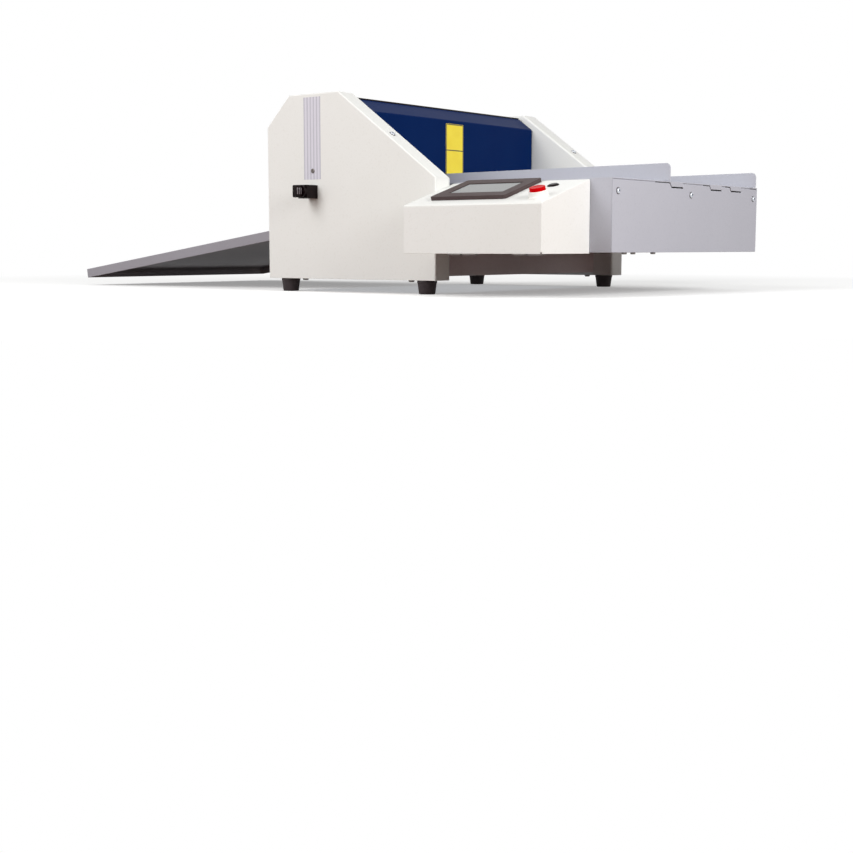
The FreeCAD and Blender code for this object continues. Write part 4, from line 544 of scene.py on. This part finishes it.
def stripe_band():
    """A row of upright printed stripes, each a thin film with its pitch along the row."""
    sizes = {
        "Count": "Int",
        "Pitch": "Float",
        "Width": "Float",
        "Height": "Float",
        "Film": "Float",
        "Material": "Material",
    }
    tree, given = geometry_tree("stripe_band", sizes)
    step = add(tree, "ShaderNodeCombineXYZ", {"Y": given["Pitch"]}).outputs[0]
    row = add(tree, "GeometryNodeMeshLine", {"Count": given["Count"], "Offset": step}).outputs[0]
    sides = {"X": given["Film"], "Y": given["Width"], "Z": given["Height"]}
    size = add(tree, "ShaderNodeCombineXYZ", sides).outputs[0]
    film = add(tree, "GeometryNodeMeshCube", {"Size": size}).outputs[0]
    spread = add(tree, "GeometryNodeInstanceOnPoints", {"Points": row, "Instance": film}).outputs[0]
    at_points = {"Points": given["Geometry"], "Instance": spread}
    placed = add(tree, "GeometryNodeInstanceOnPoints", at_points).outputs[0]
    return close_tree(tree, placed, given["Material"])


def grown(name, tree, spots, values):
    """Runs a tree over loose points, each with its own turn, and keeps the plain mesh."""
    mesh = bpy.data.meshes.new(name)
    mesh.from_pydata([spot for spot, turn in spots], [], [])
    turns = mesh.attributes.new("turn", "FLOAT_VECTOR", "POINT")
    for item, (spot, turn) in zip(turns.data, spots):
        item.vector = turn
    piece = bpy.data.objects.new(name, mesh)
    SCENE.collection.objects.link(piece)
    grower = piece.modifiers.new(tree.name, "NODES")
    grower.node_group = tree
    known = {
        item.name: item.identifier
        for item in tree.interface.items_tree
        if item.in_out == "INPUT"
    }
    for label, value in values.items():
        grower[known[label]] = value
    settle(piece)
    piece.data.shade_smooth()
    piece.data.set_sharp_from_angle(angle=SMOOTH)
    return piece


PARTS_AT_POINTS = parts_at_points()
UNTURNED = (0, 0, 0)


def repeated(name, shape, material, spots):
    """The same small part at several places, made by the tree into one piece."""
    part = shown(name + "_part", shape, material)
    values = {"Part": part, "Material": FINISH[material]}
    piece = grown(name, PARTS_AT_POINTS, spots, values)
    bpy.data.objects.remove(part)
    return piece


def along(axis):
    """The turn that lays a part's height along an axis, as the points keep it."""
    return tuple(Vector(axis).to_track_quat("Z", "Y").to_euler())


# ---------------------------------------------------------------- named places

SIDE_LEFT, SIDE_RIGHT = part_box("left_side_cover")[0].x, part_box("right_side_cover")[1].x
FRONT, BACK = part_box("left_side_cover")[0].y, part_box("left_side_cover")[1].y
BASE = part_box("left_side_cover")[0].z
TABLE_LOW, TABLE_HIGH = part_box("infeed_table")

# the side housings in mm: how high their front and their top are, and how far their slope runs back
FRONT_RISE, TOP_RISE, SLOPE_RUN = 161, 305, 201
SLOPE = math.atan((TOP_RISE - FRONT_RISE) / SLOPE_RUN)
# their screws in mm: on the outer face (from the front, from below), on the slope (from the front,
# from the outer face) and underneath (from the front, from the back, from the outer face)
FACE_SCREW = (257.5, 178.5)
SLOPE_SCREW = (100, 16.75)
LOW_SCREWS = (64, 67, 20)

# the table in mm: its sheet, the seam under the deck's edge, and the tabs' places, width and slant
SHEET, SEAM = 1.5, 1.3
TABS, TAB_WIDTH, TAB_SLANT, TAB_DEPTH = (230.0, 365.5, 439.5), 39.0, 8.0, 9.8
# the black strips in mm, painted shade in the seam and behind the tab windows: their lengths in the seam,
# the last one's too, and how deep both kinds sit
SEAM_SHADE_STRIPS, LAST_SHADE_STRIP = (42, 18, 12), 26
IN_SEAM, BEHIND_WINDOW = (0.55, 1.45), (3.1, 6.0)
# screws in mm: the table's from its corners and its top, the apron's from the left and the front
TABLE_SCREW_INSET, TABLE_SCREW_DROP = 5.3, 19
APRON_SCREWS, APRON_SCREW_INSET = (97, 123, 185), 6

# sheet or block pieces: finish and how far their edges are eased, in mm
EASED = {
    "left_side_cover": ("housing", 0.35),
    "right_side_cover": ("housing", 0.35),
    "left_frame_plate": ("housing", 0.4),
    "right_frame_plate": ("housing", 0.4),
    "console_housing": ("housing", 0.35),
    # the console's bottom plate is dark zinc; its darkness also draws the shadow line along the console's
    # lower edge, which is painted shade
    "console_bottom_plate": ("dark_zinc", 0.3),
    "hinged_cover": ("cover", 0.4),
    "upper_rear_panel": ("housing", 0.35),
    "rear_panel": ("housing", 0.4),
    "front_lower_panel": ("shade", 0.4),
    "base_plate": ("zinc", 0.5),
    "infeed_table": ("table", 0.4),
    "table_front_panel": ("table", 0.6),
    "left_guide": ("table", 0.5),
    "right_guide": ("table", 0.5),
    "left_guide_carriage": ("black", 0.5),
    "right_guide_carriage": ("black", 0.5),
    "guide_rail": ("steel_x", 0.6),
    "delivery_tray": ("tray", 0.4),
    "tray_brackets": ("zinc", 0.5),
    "screen_bezel": ("bezel", 0.7),
    "lower_tool_beam": ("steel_x", 0.8),
    "upper_tool_beam": ("steel_x", 0.8),
    "beam_supports": ("zinc", 0.6),
    "crease_matrix": ("steel_x", 0.2),
    "crease_blade": ("steel_x", 0.2),
    "cam_yokes": ("zinc", 0.6),
    "paper_guide_plates": ("zinc", 0.3),
    "power_inlet": ("black", 0.3),
    "power_rocker": ("black", 0.4),
    "power_supply": ("aluminium", 0.8),
    "stepper_motor": ("motor", 0.6),
    "crease_motor": ("motor", 0.6),
    "cover_hinge_pins": ("steel_x", 0.4),
    "guide_columns": ("steel_z", 0.4),
    "eccentric_shaft": ("steel_x", 0.5),
    "feed_roller": ("roller", 0.4),
    "pressure_roller": ("roller", 0.4),
    "depth_shaft": ("steel_x", 0.3),
}

# nodes that keep their own mesh, with the finish that they get
KEPT = {
    "foot_screws": "zinc",
    "control_board": "board",
    "column_bushes": "bronze",
    "eccentric_pulley": "aluminium",
    "motor_pulley": "aluminium",
    "feed_pulley": "aluminium",
    "stepper_pulley": "aluminium",
    "crease_belt": "belt",
    "feed_belt": "belt",
    "frame_bearings": "steel_x",
}


def dress_solids():
    """Every node of the two tables gets its finish, and the sheets and blocks their eased edges."""
    for node, (material, width) in EASED.items():
        eased(node, material, width * MM)
    for node, material in KEPT.items():
        for slot in NODES[node].material_slots:
            slot.link = "OBJECT"
            slot.material = FINISH[material]


# ---------------------------------------------------------------- side housings

def housing_stripes():
    """A pale printed band up the outer face of the left housing, with six darker lines on it."""
    count, width, line = 6, 37.5 * MM, 2.6 * MM
    low, high = BASE + 164.5 * MM, BASE + 299.2 * MM
    middle = (low + high) / 2
    edge = FRONT + 240 * MM
    band_film, line_film = 0.05 * MM, 0.09 * MM
    tree = stripe_band()
    for name, number, across, film, first in (
        ("band", 1, width, band_film, edge + width / 2),
        ("stripe", count, line, line_film, edge + line / 2),
    ):
        start = (SIDE_LEFT - film / 2, first, middle)
        values = {
            "Count": number,
            "Pitch": (width - line) / (count - 1),
            "Width": across,
            "Height": high - low,
            "Film": film,
            "Material": FINISH[name],
        }
        piece = grown("housing_" + name, tree, [(start, UNTURNED)], values)
        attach(piece, "frame")


def hexagon(apothem):
    """A rule for a hexagonal ring of that apothem."""
    sixth = math.tau / 6
    return lambda angle: apothem / math.cos((angle % sixth) - sixth / 2)


def cross(half, arm):
    """A rule for a cross-shaped ring: half is half the width of its arms, arm is their length."""
    quarter = math.tau / 4
    least = 1e-6

    def reach(angle):
        off = abs((angle + quarter / 2) % quarter - quarter / 2)
        return min(arm, half / max(math.sin(off), least))

    return reach


def screw_head(crown, radius, shank, depth, segments):
    """A screw in mm from its crown's outline; the head stands on height 0, its shank goes below."""
    under = [(radius * 0.97, 0.0), (shank, 0.0), (shank, -depth), (0, -depth)]
    outline = [
        ((lambda angle, rule=r: rule(angle) * MM) if callable(r) else r * MM, h * MM)
        for r, h in crown + under
    ]
    return turned(outline, Matrix(), segments)


def button_head(radius, height, shank, depth):
    """A button head with a hexagon socket."""
    crown = [
        (0, height * 0.35),
        (hexagon(radius * 0.40), height * 0.35),
        (hexagon(radius * 0.43), height * 0.97),
        (radius * 0.56, height),
        (radius * 0.80, height * 0.86),
        (radius * 0.94, height * 0.56),
        (radius, height * 0.16),
    ]
    return screw_head(crown, radius, shank, depth, 48)


def pan_head(radius, height, shank, depth):
    """A pan head with a cross recess."""
    crown = [
        (0, height * 0.1),
        (cross(radius * 0.10, radius * 0.34), height * 0.25),
        (cross(radius * 0.14, radius * 0.56), height * 0.96),
        (radius * 0.66, height),
        (radius * 0.86, height * 0.90),
        (radius * 0.97, height * 0.62),
        (radius, height * 0.25),
    ]
    return screw_head(crown, radius, shank, depth, 64)


def washers(name, inner, outer, thick, spots, node):
    """Dark washers in mm under bright screw heads, which ride with the node that they belong to."""
    outline = soft([(inner, 0), (outer, 0), (outer, thick, 0.2), (inner, thick)], 0.1)
    ring = turned(in_mm(outline), Matrix(), 32, closed=True)
    go_with(repeated(name, ring, "dark_zinc", spots), node)


def table_screws():
    """Three button heads with washers along the apron's top."""
    low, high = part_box("table_screws")
    inset = TABLE_SCREW_INSET * MM
    height = TABLE_HIGH.z - TABLE_SCREW_DROP * MM
    xs = (low.x + inset, (low.x + high.x) / 2, high.x - inset)
    spots = [((x, TABLE_LOW.y, height), along((0, -1, 0))) for x in xs]
    head = button_head(radius=4.4, height=2.6, shank=1.8, depth=8.0)
    stand_for(repeated("table_screws_piece", head, "zinc", spots), "table_screws")
    washers("table_screw_washers", inner=4.2, outer=5.3, thick=0.6, spots=spots, node="table_screws")


def seam_shade_strips():
    """Black strips in the seam beside the tabs and behind their windows: painted shade that darkens these
    gaps.
    """
    seam, window = (SHEET, SHEET + SEAM), (SHEET + 0.2, TAB_DEPTH + 4)
    before_tab, before_window, past_window, before_corner = 0.3, 4, 4.6, 0.6
    spans = []
    for tab, reach in zip(TABS, SEAM_SHADE_STRIPS):
        edge = SIDE_LEFT + (tab - TAB_SLANT - before_tab) * MM
        spans.append(((edge - reach * MM, edge), IN_SEAM, seam))
        behind = (edge - before_window * MM, edge + (TAB_SLANT + TAB_WIDTH + past_window) * MM)
        spans.append((behind, BEHIND_WINDOW, window))
    corner = TABLE_HIGH.x - before_corner * MM
    spans.append(((corner - LAST_SHADE_STRIP * MM, corner), IN_SEAM, seam))
    shade_strips = bmesh.new()
    for (start, end), (front, rear), (top, bottom) in spans:
        middle = TABLE_LOW.y + (front + rear) / 2 * MM
        height = TABLE_HIGH.z - (top + bottom) / 2 * MM
        placing = Matrix.Translation(((start + end) / 2, middle, height))
        size = Matrix.Diagonal((end - start, (rear - front) * MM, (bottom - top) * MM, 1))
        bmesh.ops.create_cube(shade_strips, size=1.0, matrix=placing @ size)
    bmesh.ops.bevel(shade_strips, geom=shade_strips.edges[:], offset=0.2 * MM, segments=2, profile=0.5, affect="EDGES")
    painted_shade = shown("table_tab_pads", shade_strips, "belt")
    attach(painted_shade, BODY["infeed_table"])


def apron_screws():
    """Three pan heads under the apron's lower return."""
    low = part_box("table_front_panel")[0]
    line = low.y + APRON_SCREW_INSET * MM
    spots = [((SIDE_LEFT + x * MM, line, low.z), along((0, 0, -1))) for x in APRON_SCREWS]
    head = pan_head(radius=4.0, height=2.8, shank=1.8, depth=1.2)
    screws = repeated("apron_lower_screws", head, "dark_zinc", spots)
    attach(screws, BODY["table_front_panel"])


def side_cover_screws():
    """On each side housing: a screw in its face, one with a washer on its slope, two underneath."""
    lean = Vector((0, -math.sin(SLOPE), math.cos(SLOPE)))
    up_slope, strip = SLOPE_SCREW
    rise = BASE + (FRONT_RISE + up_slope * math.tan(SLOPE)) * MM
    from_front, from_back, from_side = LOW_SCREWS
    face_spots, slope_spots, low_spots = [], [], []
    for side, inward in ((SIDE_LEFT, 1), (SIDE_RIGHT, -1)):
        slope_spots.append(((side + inward * strip * MM, FRONT + up_slope * MM, rise), along(lean)))
        face = (side, FRONT + FACE_SCREW[0] * MM, BASE + FACE_SCREW[1] * MM)
        face_spots.append((face, along((-inward, 0, 0))))
        for line in (FRONT + from_front * MM, BACK - from_back * MM):
            low_spots.append(((side + inward * from_side * MM, line, BASE), along((0, 0, -1))))
    head = pan_head(radius=3.8, height=1.8, shank=1.8, depth=9.0)
    screws = repeated("side_cover_screws_piece", head, "dark_zinc", face_spots)
    stand_for(screws, "side_cover_screws")
    slope_head = pan_head(radius=4.5, height=2.4, shank=1.8, depth=9.0)
    low_head = pan_head(radius=5.0, height=3.2, shank=1.8, depth=9.0)
    for name, head, finish, spots in (
        ("side_cover_slope_screws", slope_head, "zinc", slope_spots),
        ("side_cover_bottom_screws", low_head, "dark_zinc", low_spots),
    ):
        go_with(repeated(name, head, finish, spots), "side_cover_screws")
    # the dark washers under the slope screws stand in for the shadow round their heads: painted shade
    under_heads = {"inner": 4.3, "outer": 5.4, "thick": 0.7, "spots": slope_spots}
    washers("side_cover_washers", node="side_cover_screws", **under_heads)


# ---------------------------------------------------------------- feet

def rubber_feet():
    """Tapered rubber feet with a moulded collar under the housing and a recess for the screw."""
    outline = soft(
        [(3.05, 8.0), (6.5, 8.0, 0.4), (6.5, 0.0, 0.6), (13.0, 0.0, 1.6), (15.3, 17.5, 0.5),
         (16.0, 18.3, 0.6), (16.0, 22.0, 0.5), (3.05, 22.0)], 0.5
    )
    low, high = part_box("rubber_feet")
    radius = 16 * MM
    spots = [
        ((x, y, 0), UNTURNED)
        for x in (low.x + radius, high.x - radius)
        for y in (low.y + radius, high.y - radius)
    ]
    foot = turned(in_mm(outline), Matrix(), 56, closed=True)
    stand_for(repeated("rubber_feet_piece", foot, "foot", spots), "rubber_feet")


# ---------------------------------------------------------------- console

# the console's lid in mm: its low outer edge, its high inner edge, and the run between them
LID_LOW, LID_HIGH, LID_RUN = 115, 153, 129.7
CONSOLE_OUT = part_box("console_housing")[0].x
CONSOLE_TILT = math.atan((LID_HIGH - LID_LOW) / LID_RUN)
CONSOLE = (
    Matrix.Translation((CONSOLE_OUT, FRONT, BASE + LID_LOW * MM))
    @ Matrix.Rotation(-CONSOLE_TILT, 4, "Y")
)
# the buttons' axes: mm up the lid from its low edge, and in front of the housings
STOP = CONSOLE @ Matrix.Translation((31 * MM, -225 * MM, 0))
START = CONSOLE @ Matrix.Translation((99 * MM, -207.5 * MM, 0))


def stop_button():
    """A red cap with a rounded rim and a dished top, on a stem."""
    outline = soft(
        [(0, -10.0), (5.0, -10.0), (5.0, 5.0), (11.7, 5.0, 0.5), (11.7, 15.3, 1.2), (8.6, 15.2, 1.0),
         (6.0, 14.7, 2.0), (0, 14.6)], 0.3
    )
    cap = shown("stop_button_piece", turned(in_mm(outline), STOP, 64), "red")
    stand_for(cap, "stop_button")


def stop_button_collar():
    """The pale collar in two steps: a broad skirt and a guard round the cap."""
    outline = soft(
        [(5.05, 0.7), (12.0, 0.7), (12.0, 10.0, 0.6), (13.6, 10.0, 0.9), (13.9, 3.4, 0.8), (15.0, 2.6, 0.6),
         (15.0, 0.0, 0.2), (11.0, 0.0), (11.0, -20.0, 0.4), (5.05, -20.0)], 0.3
    )
    ring = turned(in_mm(outline), STOP, 64, closed=True)
    stand_for(shown("stop_button_collar_piece", ring, "white"), "stop_button_collar")


def start_button():
    """A low black button with a domed face."""
    outline = soft([(0, -10.0), (5.0, -10.0), (5.0, 0.3), (6.6, 0.3), (6.6, 2.5, 0.5), (0, 2.8)], 0.3)
    cap = shown("start_button_piece", turned(in_mm(outline), START, 48), "black")
    stand_for(cap, "start_button")


def start_button_collar():
    """The flat black ring round the start button."""
    outline = soft(
        [(5.05, -1.5), (6.9, -1.5), (6.9, 1.6, 0.3), (8.2, 1.6, 0.6), (9.0, 0.7, 0.3), (9.0, 0.0, 0.2),
         (8.0, 0.0), (8.0, -20.0, 0.4), (5.05, -20.0)], 0.3
    )
    ring = turned(in_mm(outline), START, 48, closed=True)
    stand_for(shown("start_button_collar_piece", ring, "black"), "start_button_collar")


def touch_screen():
    """The glass of the display, in its recess."""
    eased("touch_screen", "screen", 0.15 * MM)


# ---------------------------------------------------------------- safety cover

# in mm: the height of the label's divider, and how far back the cover's top bend lies
LABEL_DIVIDER = 224
COVER_BEND = 210


def cover_label():
    """The yellow label, its printed line laid out from the plate's own box."""
    low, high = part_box("cover_label_plate")
    centre = (low + high) / 2
    half = ((high.x - low.x) / 2, (high.z - low.z) / 2)
    FINISH["label"] = label_vinyl(centre, half, BASE + LABEL_DIVIDER * MM - centre.z)
    eased("cover_label_plate", "label", 0.2 * MM)


def cover_trim():
    """A black moulded edge strip along the top bend of the safety cover."""
    low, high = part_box("hinged_cover")
    depth, tall = 6.0 * MM, 3.0 * MM
    both_ends, ahead, proud = 5 * MM, 1 * MM, 0.6 * MM
    middle = FRONT + COVER_BEND * MM + depth / 2 - ahead
    spot = Vector(((low.x + high.x) / 2, middle, high.z + proud))
    strip = block_of((high.x - low.x - both_ends, depth, tall), spot, 0.8 * MM)
    trim = shown("cover_edge_trim", strip, "black")
    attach(trim, BODY["hinged_cover"])


# ---------------------------------------------------------------- depth knob

# in mm: the collar's length, depth, height and drop, the skirt's radius and length, and the grip's
# root, end, underside, top and thickness
COLLAR_LONG, COLLAR_DEEP, COLLAR_TALL, COLLAR_DROP = 26.5, 20.4, 22.2, 0.6
SKIRT_RADIUS, SKIRT_LONG = 10.4, 5.0
GRIP_ROOT, GRIP_END, GRIP_LOW, GRIP_HIGH, GRIP_THICK = 31.0, 46.5, -10.6, 9.7, 7.6
RIBS = 3


def knob_collar(axis):
    """The square block on the housing. It stands still."""
    middle = axis - Vector((COLLAR_LONG * MM / 2, 0, COLLAR_DROP * MM))
    sides = (COLLAR_LONG * MM, COLLAR_DEEP * MM, COLLAR_TALL * MM)
    block = block_of(sides, middle, 0.6 * MM)
    stand_for(even(shown("knob_collar_piece", block, "black")), "knob_collar")


def knob_skirt(axis):
    """The round skirt that turns against the collar."""
    gap = 0.3
    outline = soft(
        [(0, gap), (SKIRT_RADIUS, gap, 0.4), (SKIRT_RADIUS, SKIRT_LONG, 0.8), (0, SKIRT_LONG)], 0.3
    )
    placing = facing(axis - Vector((COLLAR_LONG * MM, 0, 0)), (-1, 0, 0))
    skirt = turned(in_mm(outline), placing, 72)
    stand_for(shown("depth_knob_piece", skirt, "black"), "depth_knob")


def knob_grip(axis):
    """The flat upright bar for the fingers, its outer corners well rounded."""
    small, large = 0.2, 3.2
    corners = soft(
        [(GRIP_ROOT, 0), (GRIP_ROOT, GRIP_LOW, small), (GRIP_END, GRIP_LOW, large),
         (GRIP_END, GRIP_HIGH, large), (GRIP_ROOT, GRIP_HIGH, small), (GRIP_ROOT, 0)], small, 6
    )[:-1]
    thick = GRIP_THICK * MM
    grip = bmesh.new()
    outer = [grip.verts.new(axis + Vector((-x * MM, -thick / 2, z * MM))) for x, z in corners]
    sheet = bmesh.ops.extrude_face_region(grip, geom=[grip.faces.new(outer)])
    moved = [part for part in sheet["geom"] if isinstance(part, bmesh.types.BMVert)]
    bmesh.ops.translate(grip, verts=moved, vec=(0, thick, 0))
    bmesh.ops.recalc_face_normals(grip, faces=grip.faces[:])
    rims = [edge for edge in grip.edges if edge.calc_face_angle(0) > FOLD]
    bmesh.ops.bevel(grip, geom=rims, offset=0.6 * MM, segments=3, profile=0.5, affect="EDGES")
    go_with(even(shown("depth_knob_grip", grip, "black")), "depth_knob")


def knob_ribs(axis):
    """Pale ribs across both sides of the grip, spaced over its length beyond the skirt; their pale colour
    is a painted highlight for the light that their edges catch.
    """
    wide, proud, tall = 1.5 * MM, 0.8, 11.0 * MM
    rib = block_of((wide, (GRIP_THICK + 2 * proud) * MM, tall), (0, 0, 0), 0.6 * MM)
    start = COLLAR_LONG + SKIRT_LONG
    pitches, first = 3.4, 0.6
    pitch = (GRIP_END - start) / pitches
    spots = [
        (axis - Vector(((start + pitch * (step + first)) * MM, 0, 0)), UNTURNED)
        for step in range(RIBS)
    ]
    go_with(repeated("depth_knob_ribs", rib, "mottle_and_painted_highlight", spots), "depth_knob")


def depth_knob():
    """The crease depth control, out along its axis from the left housing."""
    low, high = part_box("depth_knob")
    axis = Vector((SIDE_LEFT, (low.y + high.y) / 2, (low.z + high.z) / 2))
    knob_collar(axis)
    knob_skirt(axis)
    knob_grip(axis)
    knob_ribs(axis)


# ---------------------------------------------------------------- stage and light

# the floor's half side in metres, its own glow, and how far out it turns from floor to plain white
FLOOR_HALF = 14.0
FLOOR_GLOW = 0.30
WHITE_FROM, WHITE_AT = 0.75, 1.5
SKY = 0.39
# each softbox: its place, the place that it faces, its two sides and its power in watts
SOFTBOXES = {
    "front_softbox": ((-0.5, -2.2, 0.85), (-0.1, -0.4, 0.15), (0.9, 0.8), 29),
    "left_softbox": ((-2.7, 0.5, 1.9), (0, 0, 0.15), (1.6, 1.4), 46),
    "low_left_softbox": ((-3.1, 1.0, 0.95), (0, 0, 0.15), (1.6, 1.2), 17),
}


def seen_directly(tree):
    """1 for what the camera sees, also in reflections, and 0 for the light that falls on things."""
    rays = add(tree, "ShaderNodeLightPath").outputs
    seen = calculated(tree, "MAXIMUM", rays["Is Camera Ray"], rays["Is Glossy Ray"])
    return calculated(tree, "MAXIMUM", seen, rays["Is Transmission Ray"])


def stage():
    """A pale floor. To the camera and in reflections it is white; what it throws back on the
    object is weaker, as from a plain table."""
    shape = bmesh.new()
    corners = [
        shape.verts.new((x * FLOOR_HALF, y * FLOOR_HALF, 0))
        for x, y in ((-1, -1), (1, -1), (1, 1), (-1, 1))
    ]
    shape.faces.new(corners)
    material, tree, shader, place = finish_of("pale studio floor", {"Roughness": 0.9})
    tree.nodes.remove(shader)
    tone = blended(tree, grain(tree, place, size=0.4), "#F4F4F3", "#F7F7F6")
    pale = add(tree, "ShaderNodeBsdfDiffuse", {"Color": tone}).outputs[0]
    lift = add(tree, "ShaderNodeEmission", {"Strength": FLOOR_GLOW}).outputs[0]
    near = add(tree, "ShaderNodeAddShader", {0: pale, 1: lift}).outputs[0]
    far = add(tree, "ShaderNodeEmission", {"Strength": 1.0}).outputs[0]
    reach = add(tree, "ShaderNodeVectorMath", {0: place}, operation="LENGTH").outputs["Value"]
    away = between(tree, reach, 0, 1, WHITE_FROM, WHITE_AT)
    white = add(tree, "ShaderNodeMixShader", {0: away, 1: near, 2: far}).outputs[0]
    dull = add(tree, "ShaderNodeBsdfDiffuse", {"Color": colour("#846B60")}).outputs[0]
    both = add(tree, "ShaderNodeMixShader", {0: seen_directly(tree), 1: dull, 2: white}).outputs[0]
    output = next(one for one in tree.nodes if one.type == "OUTPUT_MATERIAL")
    tree.links.new(both, output.inputs["Surface"])
    FINISH["floor"] = material
    shown("studio_floor", shape, "floor")


def world():
    """White to the camera and in reflections, and a weaker sky light on the object."""
    backdrop = bpy.data.worlds.new("white studio")
    SCENE.world = backdrop
    backdrop.use_nodes = True
    tree = backdrop.node_tree
    tree.nodes.clear()
    level = between(tree, seen_directly(tree), SKY, 1.0, 0.0, 1.0)
    background = {"Color": (1, 1, 1, 1), "Strength": level}
    light = add(tree, "ShaderNodeBackground", background).outputs[0]
    add(tree, "ShaderNodeOutputWorld", {"Surface": light})


def lights():
    """The softboxes, each a rectangle that faces its target."""
    for name, (spot, target, (width, height), power) in SOFTBOXES.items():
        data = bpy.data.lights.new(name, "AREA")
        data.shape = "RECTANGLE"
        data.size = width
        data.size_y = height
        data.energy = power
        softbox = bpy.data.objects.new(name, data)
        softbox.location = spot
        softbox.rotation_euler = (Vector(target) - Vector(spot)).to_track_quat("-Z", "Y").to_euler()
        SCENE.collection.objects.link(softbox)


# ---------------------------------------------------------------- build

dress_solids()
housing_stripes()
table_screws()
seam_shade_strips()
apron_screws()
side_cover_screws()
rubber_feet()
stop_button()
stop_button_collar()
start_button()
start_button_collar()
touch_screen()
cover_label()
cover_trim()
depth_knob()
stage()
world()
lights()
SCENE.view_settings.view_transform = "Standard"
